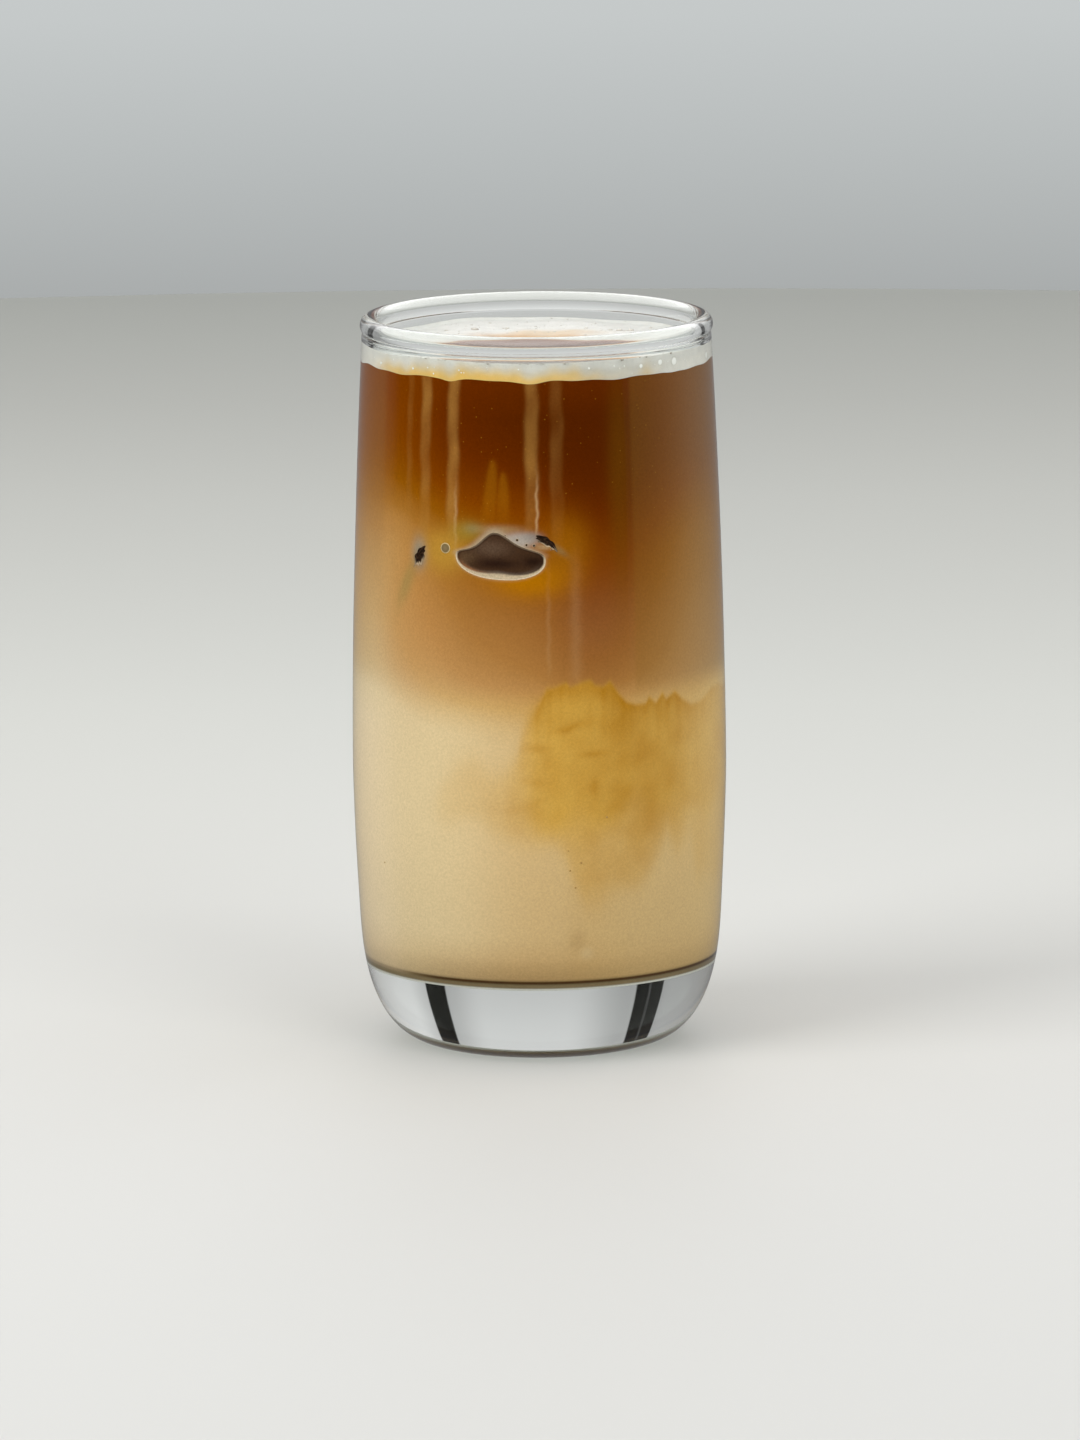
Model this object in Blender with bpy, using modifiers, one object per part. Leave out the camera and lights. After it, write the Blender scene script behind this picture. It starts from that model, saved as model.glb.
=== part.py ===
"""A tall barrel tumbler of iced espresso: milk below, espresso above, a foam ring and an ice cube.

Units are metres, +Z is up, and the origin is the centre of the glass's foot, on the table.
The front of the drink, where the ice cube presses on the wall, faces -Y.
"""

import math

import bmesh
import bpy
from mathutils import Matrix, Vector

MM = 0.001

# The tumbler
HEIGHT = 135 * MM
BELLY_RADIUS = 34.5 * MM
BELLY_HEIGHT = 52 * MM
TAPER_DOWN = 2.5 * MM
TAPER_UP = 2.6 * MM
BEND_DOWN = 1.4
BEND_UP = 1.7
FOOT_RADIUS = 19 * MM
HEEL_HEIGHT = 24 * MM
HEEL_POWER = 2.5
WALL_AT_RIM = 2.0 * MM
WALL_GAIN = 1.2 * MM
FLOOR_HEIGHT = 16 * MM
FLOOR_CORNER = 5 * MM
BEAD_RADIUS = 1.8 * MM
BEAD_CENTRE = 30.6 * MM
BEAD_START = math.radians(-112.5)
BEAD_STEP = math.radians(22.5)
BEAD_STEPS = 13
TURN_STEPS = 64

# The drink's layers, as heights at the glass wall
GAP = 0.3 * MM
LAYER_HEIGHT = 68 * MM
LAYER_SWELL = 1.2 * MM
FOAM_UNDERSIDE = 126.9 * MM
FOAM_RIPPLE = 0.35 * MM
FOAM_TOP = 130.0 * MM
FOAM_LIP = 0.4 * MM
SWELL_REACH = 10 * MM
RIPPLE_REACH = 4 * MM

# The pool of crema that the foam leaves open, set towards the front
POOL_RADIUS = 17.5 * MM
POOL_CENTRE = Vector((0, -7.5 * MM, 0))
POOL_HEIGHT = 129.2 * MM
POOL_ROOT = 122 * MM
POOL_POINTS = 48

# The ice cube, edge on to the wall
ICE_SIZE = 24 * MM
ICE_ROUNDING = 8 * MM
ICE_ROUNDING_STEPS = 4
ICE_BEARING = math.radians(-11.7)
ICE_HEIGHT = 95.5 * MM
ICE_TILT = math.radians(45)
ICE_ROLL = math.radians(4)
ICE_BITE = 0.9 * MM

GLASS_COLOUR = (0.86, 0.89, 0.88, 1)
MILK_COLOUR = (0.62, 0.46, 0.29, 1)
COFFEE_COLOUR = (0.20, 0.075, 0.018, 1)
FOAM_COLOUR = (0.83, 0.81, 0.76, 1)
ICE_COLOUR = (0.10, 0.06, 0.04, 1)


def clear_scene():
    for obj in list(bpy.data.objects):
        bpy.data.objects.remove(obj, do_unlink=True)


def new_collection(name):
    collection = bpy.data.collections.new(name)
    bpy.context.scene.collection.children.link(collection)
    return collection


def new_material(name, colour, roughness, alpha=1.0):
    material = bpy.data.materials.new(name)
    material.use_nodes = True
    shader = material.node_tree.nodes["Principled BSDF"]
    shader.inputs["Base Color"].default_value = colour
    shader.inputs["Roughness"].default_value = roughness
    shader.inputs["Metallic"].default_value = 0.0
    shader.inputs["Alpha"].default_value = alpha
    return material


def new_object(name, mesh, collection):
    obj = bpy.data.objects.new(name, mesh)
    collection.objects.link(obj)
    return obj


def hide_cutter(obj):
    obj.hide_render = True
    obj.display_type = "WIRE"


def turned(name, profile, collection):
    """Turn a half outline, a list of (radius, height), one full round about the Z axis."""
    mesh = bpy.data.meshes.new(name)
    points = [(radius, 0.0, height) for radius, height in profile]
    edges = [(i, i + 1) for i in range(len(points) - 1)]
    mesh.from_pydata(points, edges, [])
    obj = new_object(name, mesh, collection)
    screw = obj.modifiers.new("Turn", "SCREW")
    screw.axis = "Z"
    screw.angle = 2 * math.pi
    screw.steps = TURN_STEPS
    screw.render_steps = TURN_STEPS
    screw.use_merge_vertices = True
    screw.merge_threshold = 0.00001
    return obj


def settle(obj):
    """Swap the object's mesh for its evaluated one, with the modifiers applied."""
    graph = bpy.context.evaluated_depsgraph_get()
    mesh = bpy.data.meshes.new_from_object(obj.evaluated_get(graph))
    obj.modifiers.clear()
    obj.data = mesh


def boolean(obj, cutter, operation):
    modifier = obj.modifiers.new(operation.title(), "BOOLEAN")
    modifier.operation = operation
    modifier.object = cutter
    modifier.solver = "EXACT"


def finish(obj, material):
    """Give the object its one material and smooth, creased shading."""
    settle(obj)
    obj.data.materials.clear()
    obj.data.materials.append(material)
    obj.data.shade_smooth()
    obj.data.set_sharp_from_angle(angle=math.radians(35))


def barrel_radius(height):
    """The barrel's outside, widest at the belly and drawn in by a power curve each way."""
    below = max(BELLY_HEIGHT - height, 0.0) / BELLY_HEIGHT
    above = max(height - BELLY_HEIGHT, 0.0) / (HEIGHT - BELLY_HEIGHT)
    return BELLY_RADIUS - TAPER_DOWN * below**BEND_DOWN - TAPER_UP * above**BEND_UP


def outer_radius(height):
    """The barrel with its heel pulled in to the foot by a superellipse."""
    drop = max(HEEL_HEIGHT - height, 0.0) / HEEL_HEIGHT
    heel = 1 - (1 - drop**HEEL_POWER) ** (1 / HEEL_POWER)
    return barrel_radius(height) - (BELLY_RADIUS - TAPER_DOWN - FOOT_RADIUS) * heel


def inner_radius(height):
    """The wall is thinnest at the rim and gains thickness towards the base."""
    wall = WALL_AT_RIM + WALL_GAIN * ((HEIGHT - height) / HEIGHT) ** 2
    return barrel_radius(height) - wall


def heights(start, end, count):
    return [start + (end - start) * i / (count - 1) for i in range(count)]


def floor_corner(floor, offset, count=7):
    """A quarter round from the floor up to the wall, offset inwards for what lies in it."""
    radius = FLOOR_CORNER - offset
    centre_height = floor + FLOOR_CORNER
    centre = inner_radius(centre_height) - FLOOR_CORNER
    angles = [math.pi / 2 * i / (count - 1) for i in range(count)]
    return [(centre + radius * math.sin(a), centre_height - radius * math.cos(a)) for a in angles]


def glass_profile():
    """From the cavity floor, up the inner wall, over the rim bead and down the outside."""
    bead_height = HEIGHT - BEAD_RADIUS
    inside = floor_corner(FLOOR_HEIGHT, 0.0)
    wall_top = bead_height + BEAD_RADIUS * math.sin(BEAD_START) - 0.6 * MM
    inside += [(inner_radius(z), z) for z in heights(inside[-1][1], wall_top, 10)[1:]]
    sweep = [BEAD_START - BEAD_STEP * i for i in range(BEAD_STEPS + 1)]
    bead = [
        (BEAD_CENTRE + BEAD_RADIUS * math.cos(a), bead_height + BEAD_RADIUS * math.sin(a))
        for a in sweep
    ]
    outside = [(outer_radius(z), z) for z in heights(bead[-1][1] - 0.7 * MM, HEEL_HEIGHT, 10)]
    heel_turns = [math.pi / 2 * i / 10 for i in range(1, 11)]
    heel = [HEEL_HEIGHT * (1 - math.sin(a) ** (2 / HEEL_POWER)) for a in heel_turns]
    outside += [(outer_radius(z), z) for z in heel]
    return [(0.0, FLOOR_HEIGHT)] + inside + bead + outside + [(0.0, 0.0)]


def layer_swell(x, y):
    """Low, long waves on the surface between milk and espresso, flat at the middle."""
    angle = math.atan2(y, x)
    reach = min(math.hypot(x, y) / BELLY_RADIUS, 1.0)
    return LAYER_SWELL * reach**2 * (math.sin(3 * angle + 0.5) + 0.4 * math.sin(7 * angle + 2.0))


def foam_ripple(x, y):
    """Shorter ripples under the foam, where it clings to the wall."""
    angle = math.atan2(y, x)
    reach = min(math.hypot(x, y) / BELLY_RADIUS, 1.0)
    waves = math.sin(5 * angle + 1.0) + 0.6 * math.sin(11 * angle) + 0.4 * math.sin(17 * angle)
    return FOAM_RIPPLE * reach**4 * waves


def bend_level(obj, level, wave, reach):
    """Lift the vertices near a level by a wave, which fades out within its reach."""
    for vertex in obj.data.vertices:
        x, y, z = vertex.co
        weight = max(1 - abs(z - level) / reach, 0.0)
        vertex.co.z += wave(x, y) * weight


def disc_radii(radius, count):
    """Radii from the axis out to just short of the rim of a flat face."""
    return [radius * i / count for i in range(count)]


def side(top, bottom, count):
    """The drink's outer side, the gap clear of the wall, from top to bottom."""
    return [(inner_radius(z) - GAP, z) for z in heights(top, bottom, count)]


def make_glass(collection):
    glass = turned("glass", glass_profile(), collection)
    finish(glass, new_material("clear_glass", GLASS_COLOUR, 0.03, 0.35))


def make_milk(collection):
    """The lower layer, which fills the rounded floor of the cavity."""
    top = LAYER_HEIGHT - GAP
    corner = floor_corner(FLOOR_HEIGHT, GAP, 6)
    radius = inner_radius(top) - GAP
    profile = [(r, top) for r in disc_radii(radius, 5)]
    profile += side(top, corner[-1][1], 10)[:-1]
    profile += list(reversed(corner)) + [(0.0, FLOOR_HEIGHT + GAP)]
    milk = turned("milk", profile, collection)
    settle(milk)
    bend_level(milk, top, layer_swell, SWELL_REACH)
    finish(milk, new_material("milk", MILK_COLOUR, 0.35))


def pool_outline(grow):
    """A lobed round outline about the pool's centre, grown outwards by a margin."""
    outline = []
    for i in range(POOL_POINTS):
        angle = 2 * math.pi * i / POOL_POINTS
        lobes = 1 + 0.04 * math.sin(3 * angle + 0.7) + 0.025 * math.sin(7 * angle)
        radius = POOL_RADIUS * lobes + grow
        outline.append(POOL_CENTRE + Vector((radius * math.cos(angle), radius * math.sin(angle), 0)))
    return outline


def upright(name, outline, bottom, top, collection):
    """Extrude a closed outline straight up between two heights."""
    shape = bmesh.new()
    ring = [shape.verts.new((point.x, point.y, bottom)) for point in outline]
    base = shape.faces.new(reversed(ring))
    raised = bmesh.ops.extrude_face_region(shape, geom=[base])["geom"]
    lifted = [part for part in raised if isinstance(part, bmesh.types.BMVert)]
    bmesh.ops.translate(shape, vec=(0, 0, top - bottom), verts=lifted)
    bmesh.ops.recalc_face_normals(shape, faces=shape.faces)
    mesh = bpy.data.meshes.new(name)
    shape.to_mesh(mesh)
    shape.free()
    return new_object(name, mesh, collection)


def ice_block(name, grow, collection):
    """A melted cube, its rounded front edge level and pushed a little way into the wall."""
    shape = bmesh.new()
    bmesh.ops.create_cube(shape, size=ICE_SIZE + 2 * grow)
    bmesh.ops.bevel(
        shape,
        geom=shape.edges,
        offset=ICE_ROUNDING + grow,
        segments=ICE_ROUNDING_STEPS,
        profile=0.5,
        affect="EDGES",
    )
    mesh = bpy.data.meshes.new(name)
    edge_reach = ICE_SIZE / math.sqrt(2) - ICE_ROUNDING * (math.sqrt(2) - 1)
    distance = inner_radius(ICE_HEIGHT) - GAP + ICE_BITE - edge_reach
    centre = Vector((0, -distance, ICE_HEIGHT))
    pose = Matrix.Translation(centre) @ Matrix.Rotation(ICE_ROLL, 4, "Y")
    pose = Matrix.Rotation(ICE_BEARING, 4, "Z") @ pose @ Matrix.Rotation(ICE_TILT, 4, "X")
    bmesh.ops.transform(shape, matrix=pose, verts=shape.verts)
    shape.to_mesh(mesh)
    shape.free()
    return new_object(name, mesh, collection)


def make_coffee(collection, cutters):
    """The upper layer, with the pool raised through the foam and a pocket for the ice."""
    radius = inner_radius(FOAM_UNDERSIDE) - GAP
    profile = [(r, FOAM_UNDERSIDE) for r in disc_radii(radius, 8)]
    profile += side(FOAM_UNDERSIDE, LAYER_HEIGHT, 14)
    base_radius = inner_radius(LAYER_HEIGHT) - GAP
    profile += [(r, LAYER_HEIGHT) for r in reversed(disc_radii(base_radius, 5))]
    coffee = turned("coffee", profile, collection)
    settle(coffee)
    bend_level(coffee, FOAM_UNDERSIDE, foam_ripple, RIPPLE_REACH)
    bend_level(coffee, LAYER_HEIGHT, layer_swell, SWELL_REACH)
    pool = upright("pool_cutter", pool_outline(-GAP), POOL_ROOT, POOL_HEIGHT, cutters)
    pocket = ice_block("pocket_cutter", GAP, cutters)
    boolean(coffee, pool, "UNION")
    boolean(coffee, pocket, "DIFFERENCE")
    finish(coffee, new_material("espresso", COFFEE_COLOUR, 0.3))
    hide_cutter(pool)
    hide_cutter(pocket)


def make_foam(collection, cutters):
    """White foam round the pool, with a low lip where it climbs the glass."""
    under = FOAM_UNDERSIDE + GAP
    rim = inner_radius(FOAM_TOP + FOAM_LIP) - GAP
    profile = [(r, FOAM_TOP) for r in disc_radii(rim, 10)]
    profile += [(rim - 1.2 * MM, FOAM_TOP), (rim, FOAM_TOP + FOAM_LIP)]
    profile += side(FOAM_TOP - 0.6 * MM, under, 4)
    foot = inner_radius(under) - GAP
    profile += [(r, under) for r in reversed(disc_radii(foot, 8))]
    foam = turned("foam", profile, collection)
    settle(foam)
    bend_level(foam, under, foam_ripple, RIPPLE_REACH)
    hole = upright("hole_cutter", pool_outline(0.0), POOL_ROOT, HEIGHT, cutters)
    boolean(foam, hole, "DIFFERENCE")
    finish(foam, new_material("foam", FOAM_COLOUR, 0.6))
    hide_cutter(hole)


def make_ice(collection, cutters):
    """The cube itself, trimmed to the gap that the whole drink keeps from the wall."""
    cube = ice_block("ice_cube", 0.0, collection)
    low = ICE_HEIGHT - ICE_SIZE
    high = ICE_HEIGHT + ICE_SIZE
    core = turned("cavity_core", [(0.0, high)] + side(high, low, 12) + [(0.0, low)], cutters)
    settle(core)
    boolean(cube, core, "INTERSECT")
    finish(cube, new_material("ice", ICE_COLOUR, 0.1))
    hide_cutter(core)


def main():
    clear_scene()
    parts = new_collection("iced_espresso_glass")
    cutters = new_collection("cutters")
    make_glass(parts)
    make_milk(parts)
    make_coffee(parts, cutters)
    make_foam(parts, cutters)
    make_ice(parts, cutters)


main()
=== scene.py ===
"""A glass of iced espresso: a barrel tumbler with milk below, espresso above, foam and ice.

Lengths are in millimetres until a mesh is made. A bearing is measured about the glass's axis,
in degrees, 0 at the front (-Y) and growing to the right (+X).
"""

import math

import bpy
import numpy as np
from mathutils import Matrix, Vector


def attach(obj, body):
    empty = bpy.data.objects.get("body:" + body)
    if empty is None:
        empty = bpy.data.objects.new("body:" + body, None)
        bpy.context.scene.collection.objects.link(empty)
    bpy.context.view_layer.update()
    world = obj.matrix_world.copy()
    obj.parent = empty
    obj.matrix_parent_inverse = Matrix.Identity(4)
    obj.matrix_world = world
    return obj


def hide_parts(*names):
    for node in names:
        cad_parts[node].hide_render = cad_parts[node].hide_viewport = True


MM = 0.001
# Vertices once round the drink and its foam
COLUMNS = 480
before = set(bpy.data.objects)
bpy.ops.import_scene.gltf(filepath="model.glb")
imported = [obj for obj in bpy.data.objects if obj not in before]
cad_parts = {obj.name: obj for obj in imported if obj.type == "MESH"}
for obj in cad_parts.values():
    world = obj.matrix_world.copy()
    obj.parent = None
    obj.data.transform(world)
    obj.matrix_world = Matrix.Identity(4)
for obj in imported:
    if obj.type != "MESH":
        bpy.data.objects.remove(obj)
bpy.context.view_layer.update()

# The tumbler's form, the same values as the solid's
HEIGHT = 135.0
BELLY_RADIUS = 34.5
BELLY_HEIGHT = 52.0
TAPER_DOWN = 2.5
TAPER_UP = 2.6
BEND_DOWN = 1.4
BEND_UP = 1.7
FOOT_RADIUS = 19.0
HEEL_HEIGHT = 24.0
HEEL_POWER = 2.5
WALL_AT_RIM = 2.0
WALL_GAIN = 1.2
FLOOR_HEIGHT = 16.0
FLOOR_CORNER = 5.0
BEAD_RADIUS = 1.8
BEAD_CENTRE = 30.6

# The drink's levels and the pool that the foam leaves open
SKIN = 0.15
EDGE_SINK = 1.35
LAYER_HEIGHT = 68.0
LAYER_SWELL = 1.2
FOAM_UNDERSIDE = 126.9
FOAM_EDGE = 126.98
FOAM_TOP = 130.0
FOAM_LIP = 0.4
POOL_RADIUS = 17.5
POOL_CENTRE = (0.0, -7.5)
POOL_HEIGHT = 129.2
POOL_DEPTH = 3.0

# Where the ice cube presses on the wall, its edge, how far behind the wall its middle lies, and
# how deep the slivers beside it go
ICE_BEARING = -12.5
ICE_HEIGHT = 94.7
ICE_SIZE = 24.0
CUBE_DEPTH = 14.2
CHIP_DEPTH = 3.2
# The wall's radius there, and how far past it a pressed face lies, just in front of the drink
WALL_NEAR_ICE = 31.5
PRESSED = SKIN + 0.07


def linear(code):
    """An sRGB hex colour as linear red, green and blue."""
    value = np.array([int(code[i : i + 2], 16) for i in (0, 2, 4)]) / 255
    return np.where(value <= 0.04045, value / 12.92, ((value + 0.055) / 1.055) ** 2.4)


def rgba(code):
    return (*linear(code), 1.0)


def sigmoid(value):
    """A soft step from 0 to 1 as the value goes from well below zero to well above it."""
    return 1 / (1 + np.exp(-np.clip(value, -40, 40)))


def bump(value, centre, width):
    """A smooth hill of height 1 about a centre, e to the minus of the distance over width squared."""
    return np.exp(-(((value - centre) / width) ** 2))


def between(value, low, high, soft_low, soft_high):
    """1 between two edges, with a soft step of its own width at each."""
    return sigmoid((value - low) / soft_low) * sigmoid((high - value) / soft_high)


def smooth_step(value, start, end):
    """0 before the start, 1 past the end, and a cubic between that leaves both level."""
    share = np.clip((value - start) / (end - start), 0, 1)
    return share * share * (3 - 2 * share)


def ripples(bearing, height, seed, count, turns, waves):
    """Seeded cloudiness between about -1 and 1 that closes round the glass: a sum of sine waves
    whose whole number of turns and whose rate up the wall are drawn at random."""
    draw = np.random.default_rng(seed)
    around = draw.integers(1, turns + 1, count) * draw.choice([-1, 1], count)
    upward = draw.uniform(-waves, waves, count)
    phase = draw.uniform(0, 2 * math.pi, count)
    total = np.zeros(np.broadcast(bearing, height).shape)
    for a, u, p in zip(around, upward, phase):
        total += np.sin(a * np.radians(bearing) + u * height + p)
    return total / math.sqrt(count / 2)


# Forms of the glass


def barrel_radius(z):
    """The belly's radius less a power of the share of the way down, or up, from the belly."""
    below = np.maximum(BELLY_HEIGHT - z, 0) / BELLY_HEIGHT
    above = np.maximum(z - BELLY_HEIGHT, 0) / (HEIGHT - BELLY_HEIGHT)
    return BELLY_RADIUS - TAPER_DOWN * below**BEND_DOWN - TAPER_UP * above**BEND_UP


def outer_radius(z):
    """The barrel with its heel pulled in to the foot by a superellipse."""
    drop = np.clip((HEEL_HEIGHT - z) / HEEL_HEIGHT, 0, 1)
    heel = 1 - (1 - drop**HEEL_POWER) ** (1 / HEEL_POWER)
    return barrel_radius(z) - (BELLY_RADIUS - TAPER_DOWN - FOOT_RADIUS) * heel


def inner_radius(z):
    """The wall is thinnest at the rim and gains thickness by the square of the way down."""
    return barrel_radius(z) - (WALL_AT_RIM + WALL_GAIN * ((HEIGHT - z) / HEIGHT) ** 2)


def floor_corner(offset, count):
    """Radii and heights of the quarter round from the cavity's floor up to its wall."""
    angle = np.linspace(0, math.pi / 2, count)
    centre_height = FLOOR_HEIGHT + FLOOR_CORNER
    centre = inner_radius(centre_height) - FLOOR_CORNER
    radius = FLOOR_CORNER + offset
    return centre + radius * np.sin(angle), centre_height - radius * np.cos(angle)


def layer_swell(bearing):
    """The low waves of the milk's edge at the wall: 3 and 7 to a turn."""
    angle = np.radians(bearing - 90)
    return LAYER_SWELL * (np.sin(3 * angle + 0.5) + 0.4 * np.sin(7 * angle + 2.0)) * 0.82


# Meshes from whole arrays


def ring_quads(rows, cols, wrap_rows=False):
    """Four-sided faces between neighbouring rings; columns run right round, rows may too."""
    spans = rows if wrap_rows else rows - 1
    row, col = np.meshgrid(np.arange(spans), np.arange(cols), indexing="ij")
    near = row * cols + col
    beside = row * cols + (col + 1) % cols
    above = ((row + 1) % rows) * cols
    return np.stack([near, beside, above + (col + 1) % cols, above + col], -1).reshape(-1, 4)


def fan(ring, pole, cols, upward):
    """Triangles from a ring's vertices to one pole; upward says the pole lies past the ring."""
    near = ring + np.arange(cols)
    beside = ring + (np.arange(cols) + 1) % cols
    centre = np.full(cols, pole)
    order = [near, beside, centre] if upward else [beside, near, centre]
    return np.stack(order, -1)


def new_mesh(name, points, quads, triangles=None):
    """A mesh object at the origin from points in millimetres and arrays of corner numbers."""
    triangles = np.zeros((0, 3), int) if triangles is None else triangles
    corners = np.concatenate([quads.ravel(), triangles.ravel()])
    starts = np.arange(len(quads)) * 4
    starts = np.concatenate([starts, len(quads) * 4 + np.arange(len(triangles)) * 3])
    mesh = bpy.data.meshes.new(name)
    mesh.vertices.add(len(points))
    mesh.vertices.foreach_set("co", (points * MM).astype(np.float32).ravel())
    mesh.loops.add(len(corners))
    mesh.loops.foreach_set("vertex_index", corners.astype(np.int32))
    mesh.polygons.add(len(starts))
    mesh.polygons.foreach_set("loop_start", starts.astype(np.int32))
    mesh.update(calc_edges=True)
    mesh.validate()
    mesh.shade_smooth()
    obj = bpy.data.objects.new(name, mesh)
    bpy.context.scene.collection.objects.link(obj)
    return obj


def around(bearing, radius, z):
    """Points at a radius and height on the given bearings; whole arrays in, one array out."""
    angle = np.radians(bearing)
    radius, z, angle = np.broadcast_arrays(radius, z, angle)
    return np.stack([radius * np.sin(angle), -radius * np.cos(angle), z], -1)


def solid_faces(rows, cols):
    """The faces of a stack of rings with a pole before the first ring and one after the last,
    where the poles' numbers follow those of the rings' vertices."""
    count = rows * cols
    fans = [fan(0, count, cols, False), fan(count - cols, count + 1, cols, True)]
    return ring_quads(rows, cols), np.concatenate(fans)


def closed_rings(name, lattice, start, end, flip=False):
    """A closed solid from a stack of rings that starts round one pole and ends round another;
    flip turns its faces over, for rings that run the other way."""
    rows, cols = lattice.shape[:2]
    points = np.concatenate([lattice.reshape(-1, 3), [start, end]])
    quads, triangles = solid_faces(rows, cols)
    if flip:
        quads, triangles = quads[:, ::-1], triangles[:, ::-1]
    return new_mesh(name, points, quads, triangles)


def keep_edges(obj, degrees):
    obj.data.set_sharp_from_angle(angle=math.radians(degrees))


def write_values(obj, name, values):
    """One number for each vertex, for a material to read by its name."""
    layer = obj.data.attributes.new(name, "FLOAT", "POINT")
    layer.data.foreach_set("value", np.asarray(values, np.float32).ravel())


def write_colours(obj, name, colours):
    """One linear colour for each vertex, for a material to read by its name."""
    layer = obj.data.attributes.new(name, "FLOAT_COLOR", "POINT")
    colours = np.concatenate([colours, np.ones((len(colours), 1))], 1)
    layer.data.foreach_set("color", colours.astype(np.float32).ravel())


def front_weighted_bearings(count):
    """Bearings once round, closest together at the front: an even turn less a share of its sine."""
    turn = 2 * math.pi * (np.arange(count) / count - 0.5)
    return np.degrees(turn - 0.55 * np.sin(turn))


# Materials


def new_material(name):
    """An empty material and its node tree."""
    material = bpy.data.materials.new(name)
    material.use_nodes = True
    material.node_tree.nodes.clear()
    return material, material.node_tree


def add_node(tree, kind, settings=None, links=None):
    """Add a shader node; settings are its properties or sockets' values, links its sockets'
    sources, where a node stands for its first output."""
    node = tree.nodes.new("ShaderNode" + kind)
    for key, value in (settings or {}).items():
        if isinstance(key, str) and hasattr(node, key):
            setattr(node, key, value)
        else:
            node.inputs[key].default_value = value
    for key, source in (links or {}).items():
        source = source.outputs[0] if isinstance(source, bpy.types.Node) else source
        tree.links.new(source, node.inputs[key])
    return node


def set_stops(node, stops):
    """Lay (place, hex colour) stops on a colour ramp's node."""
    ramp = node.color_ramp
    while len(ramp.elements) < len(stops):
        ramp.elements.new(1.0)
    for element, (place, code) in zip(ramp.elements, stops):
        element.position = place
        element.color = rgba(code)


def speckled(tree, place, name, size, detail, low, high):
    """The vertex colour of that name, darker and lighter from low to high by grains of a size in
    millimetres; the noise goes from about 0.3 to 0.7."""
    tone = add_node(tree, "Attribute", {"attribute_name": name}).outputs["Color"]
    grains = {"Scale": 1 / (size * MM), "Detail": detail}
    grain = add_node(tree, "TexNoise", grains, {"Vector": place}).outputs["Fac"]
    limits = {"From Min": 0.3, "From Max": 0.7, "To Min": low, "To Max": high}
    level = add_node(tree, "MapRange", limits, {"Value": grain})
    return add_node(tree, "HueSaturation", links={"Color": tone, "Value": level})


def soda_lime_glass():
    """Pressed soda-lime glass: clear and smooth, with the faint waviness of a pressed tumbler.
    Lamplight and bounced light pass straight through it to the drink."""
    material, tree = new_material("soda_lime_glass")
    place = add_node(tree, "TexCoord").outputs["Object"]
    # Waves about 14 mm long
    long_waves = {"Scale": 1 / (14 * MM), "Detail": 0.0}
    waves = add_node(tree, "TexNoise", long_waves, {"Vector": place}).outputs["Fac"]
    relief = add_node(tree, "Bump", {"Strength": 0.25, "Distance": 0.1 * MM}, {"Height": waves})
    glass = add_node(
        tree,
        "BsdfPrincipled",
        {"Base Color": rgba("f7faf8"), "Roughness": 0.0, "IOR": 1.5, "Transmission Weight": 1.0},
        {"Normal": relief},
    )
    clear = add_node(tree, "BsdfTransparent", {"Color": rgba("f2f5f4")})
    path = add_node(tree, "LightPath").outputs
    passing = add_node(
        tree, "Math", {"operation": "MAXIMUM"}, {0: path["Is Shadow Ray"], 1: path["Is Diffuse Ray"]}
    )
    skin = add_node(tree, "MixShader", links={0: passing, 1: glass, 2: clear})
    add_node(tree, "OutputMaterial", links={"Surface": skin})
    return material


def milky_coffee():
    """Espresso and milk, still and half mixed: matt through the glass, since nothing but liquid
    touches the wall, with fine suspended grains that the eye reads as a faint speckle."""
    material, tree = new_material("milky_coffee")
    place = add_node(tree, "TexCoord").outputs["Object"]
    # Grains 0.4 mm across, drawn a little coarser than the real ones so that they show
    mixture = speckled(tree, place, "drink_colour", 0.4, 2.0, 0.93, 1.07)
    # Specks of oil 0.25 mm across, in cells 1.5 mm apart
    cells = add_node(tree, "TexVoronoi", {"Scale": 1 / (1.5 * MM)}, {"Vector": place})
    limits = {"From Min": 0.04, "From Max": 0.11, "To Min": 0.35, "To Max": 0.0}
    near = add_node(tree, "MapRange", limits, {"Value": cells})
    amount = add_node(tree, "Attribute", {"attribute_name": "oil_specks"}).outputs["Fac"]
    shown = add_node(tree, "Math", {"operation": "MULTIPLY"}, {0: near, 1: amount})
    golden = add_node(
        tree, "Mix", {"data_type": "RGBA", 7: rgba("b5812c")}, {0: shown, 6: mixture}
    ).outputs[2]
    matt = {"Roughness": 1.0, "Specular IOR Level": 0.0}
    skin = add_node(tree, "BsdfPrincipled", matt, {"Base Color": golden})
    add_node(tree, "OutputMaterial", links={"Surface": skin})
    return material


def milk_froth():
    """Milk froth: white, matt and slightly see-through, a close pack of half-millimetre bubbles,
    stained yellow where crema has run into it."""
    material, tree = new_material("milk_froth")
    place = add_node(tree, "TexCoord").outputs["Object"]
    # Cloudiness 2.5 mm across
    uneven = speckled(tree, place, "froth_colour", 2.5, 4.0, 0.93, 1.05)
    # Bubbles 0.6 mm across
    cells = add_node(tree, "TexVoronoi", {"Scale": 1 / (0.6 * MM)}, {"Vector": place})
    relief = add_node(tree, "Bump", {"Strength": 0.5, "Distance": 0.12 * MM}, {"Height": cells})
    soft = {
        "Roughness": 0.6,
        "Specular IOR Level": 0.2,
        "Subsurface Weight": 0.2,
        "Subsurface Radius": (1.0, 0.9, 0.8),
        "Subsurface Scale": 0.5 * MM,
    }
    skin = add_node(tree, "BsdfPrincipled", soft, {"Base Color": uneven, "Normal": relief})
    add_node(tree, "OutputMaterial", links={"Surface": skin})
    return material


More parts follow.
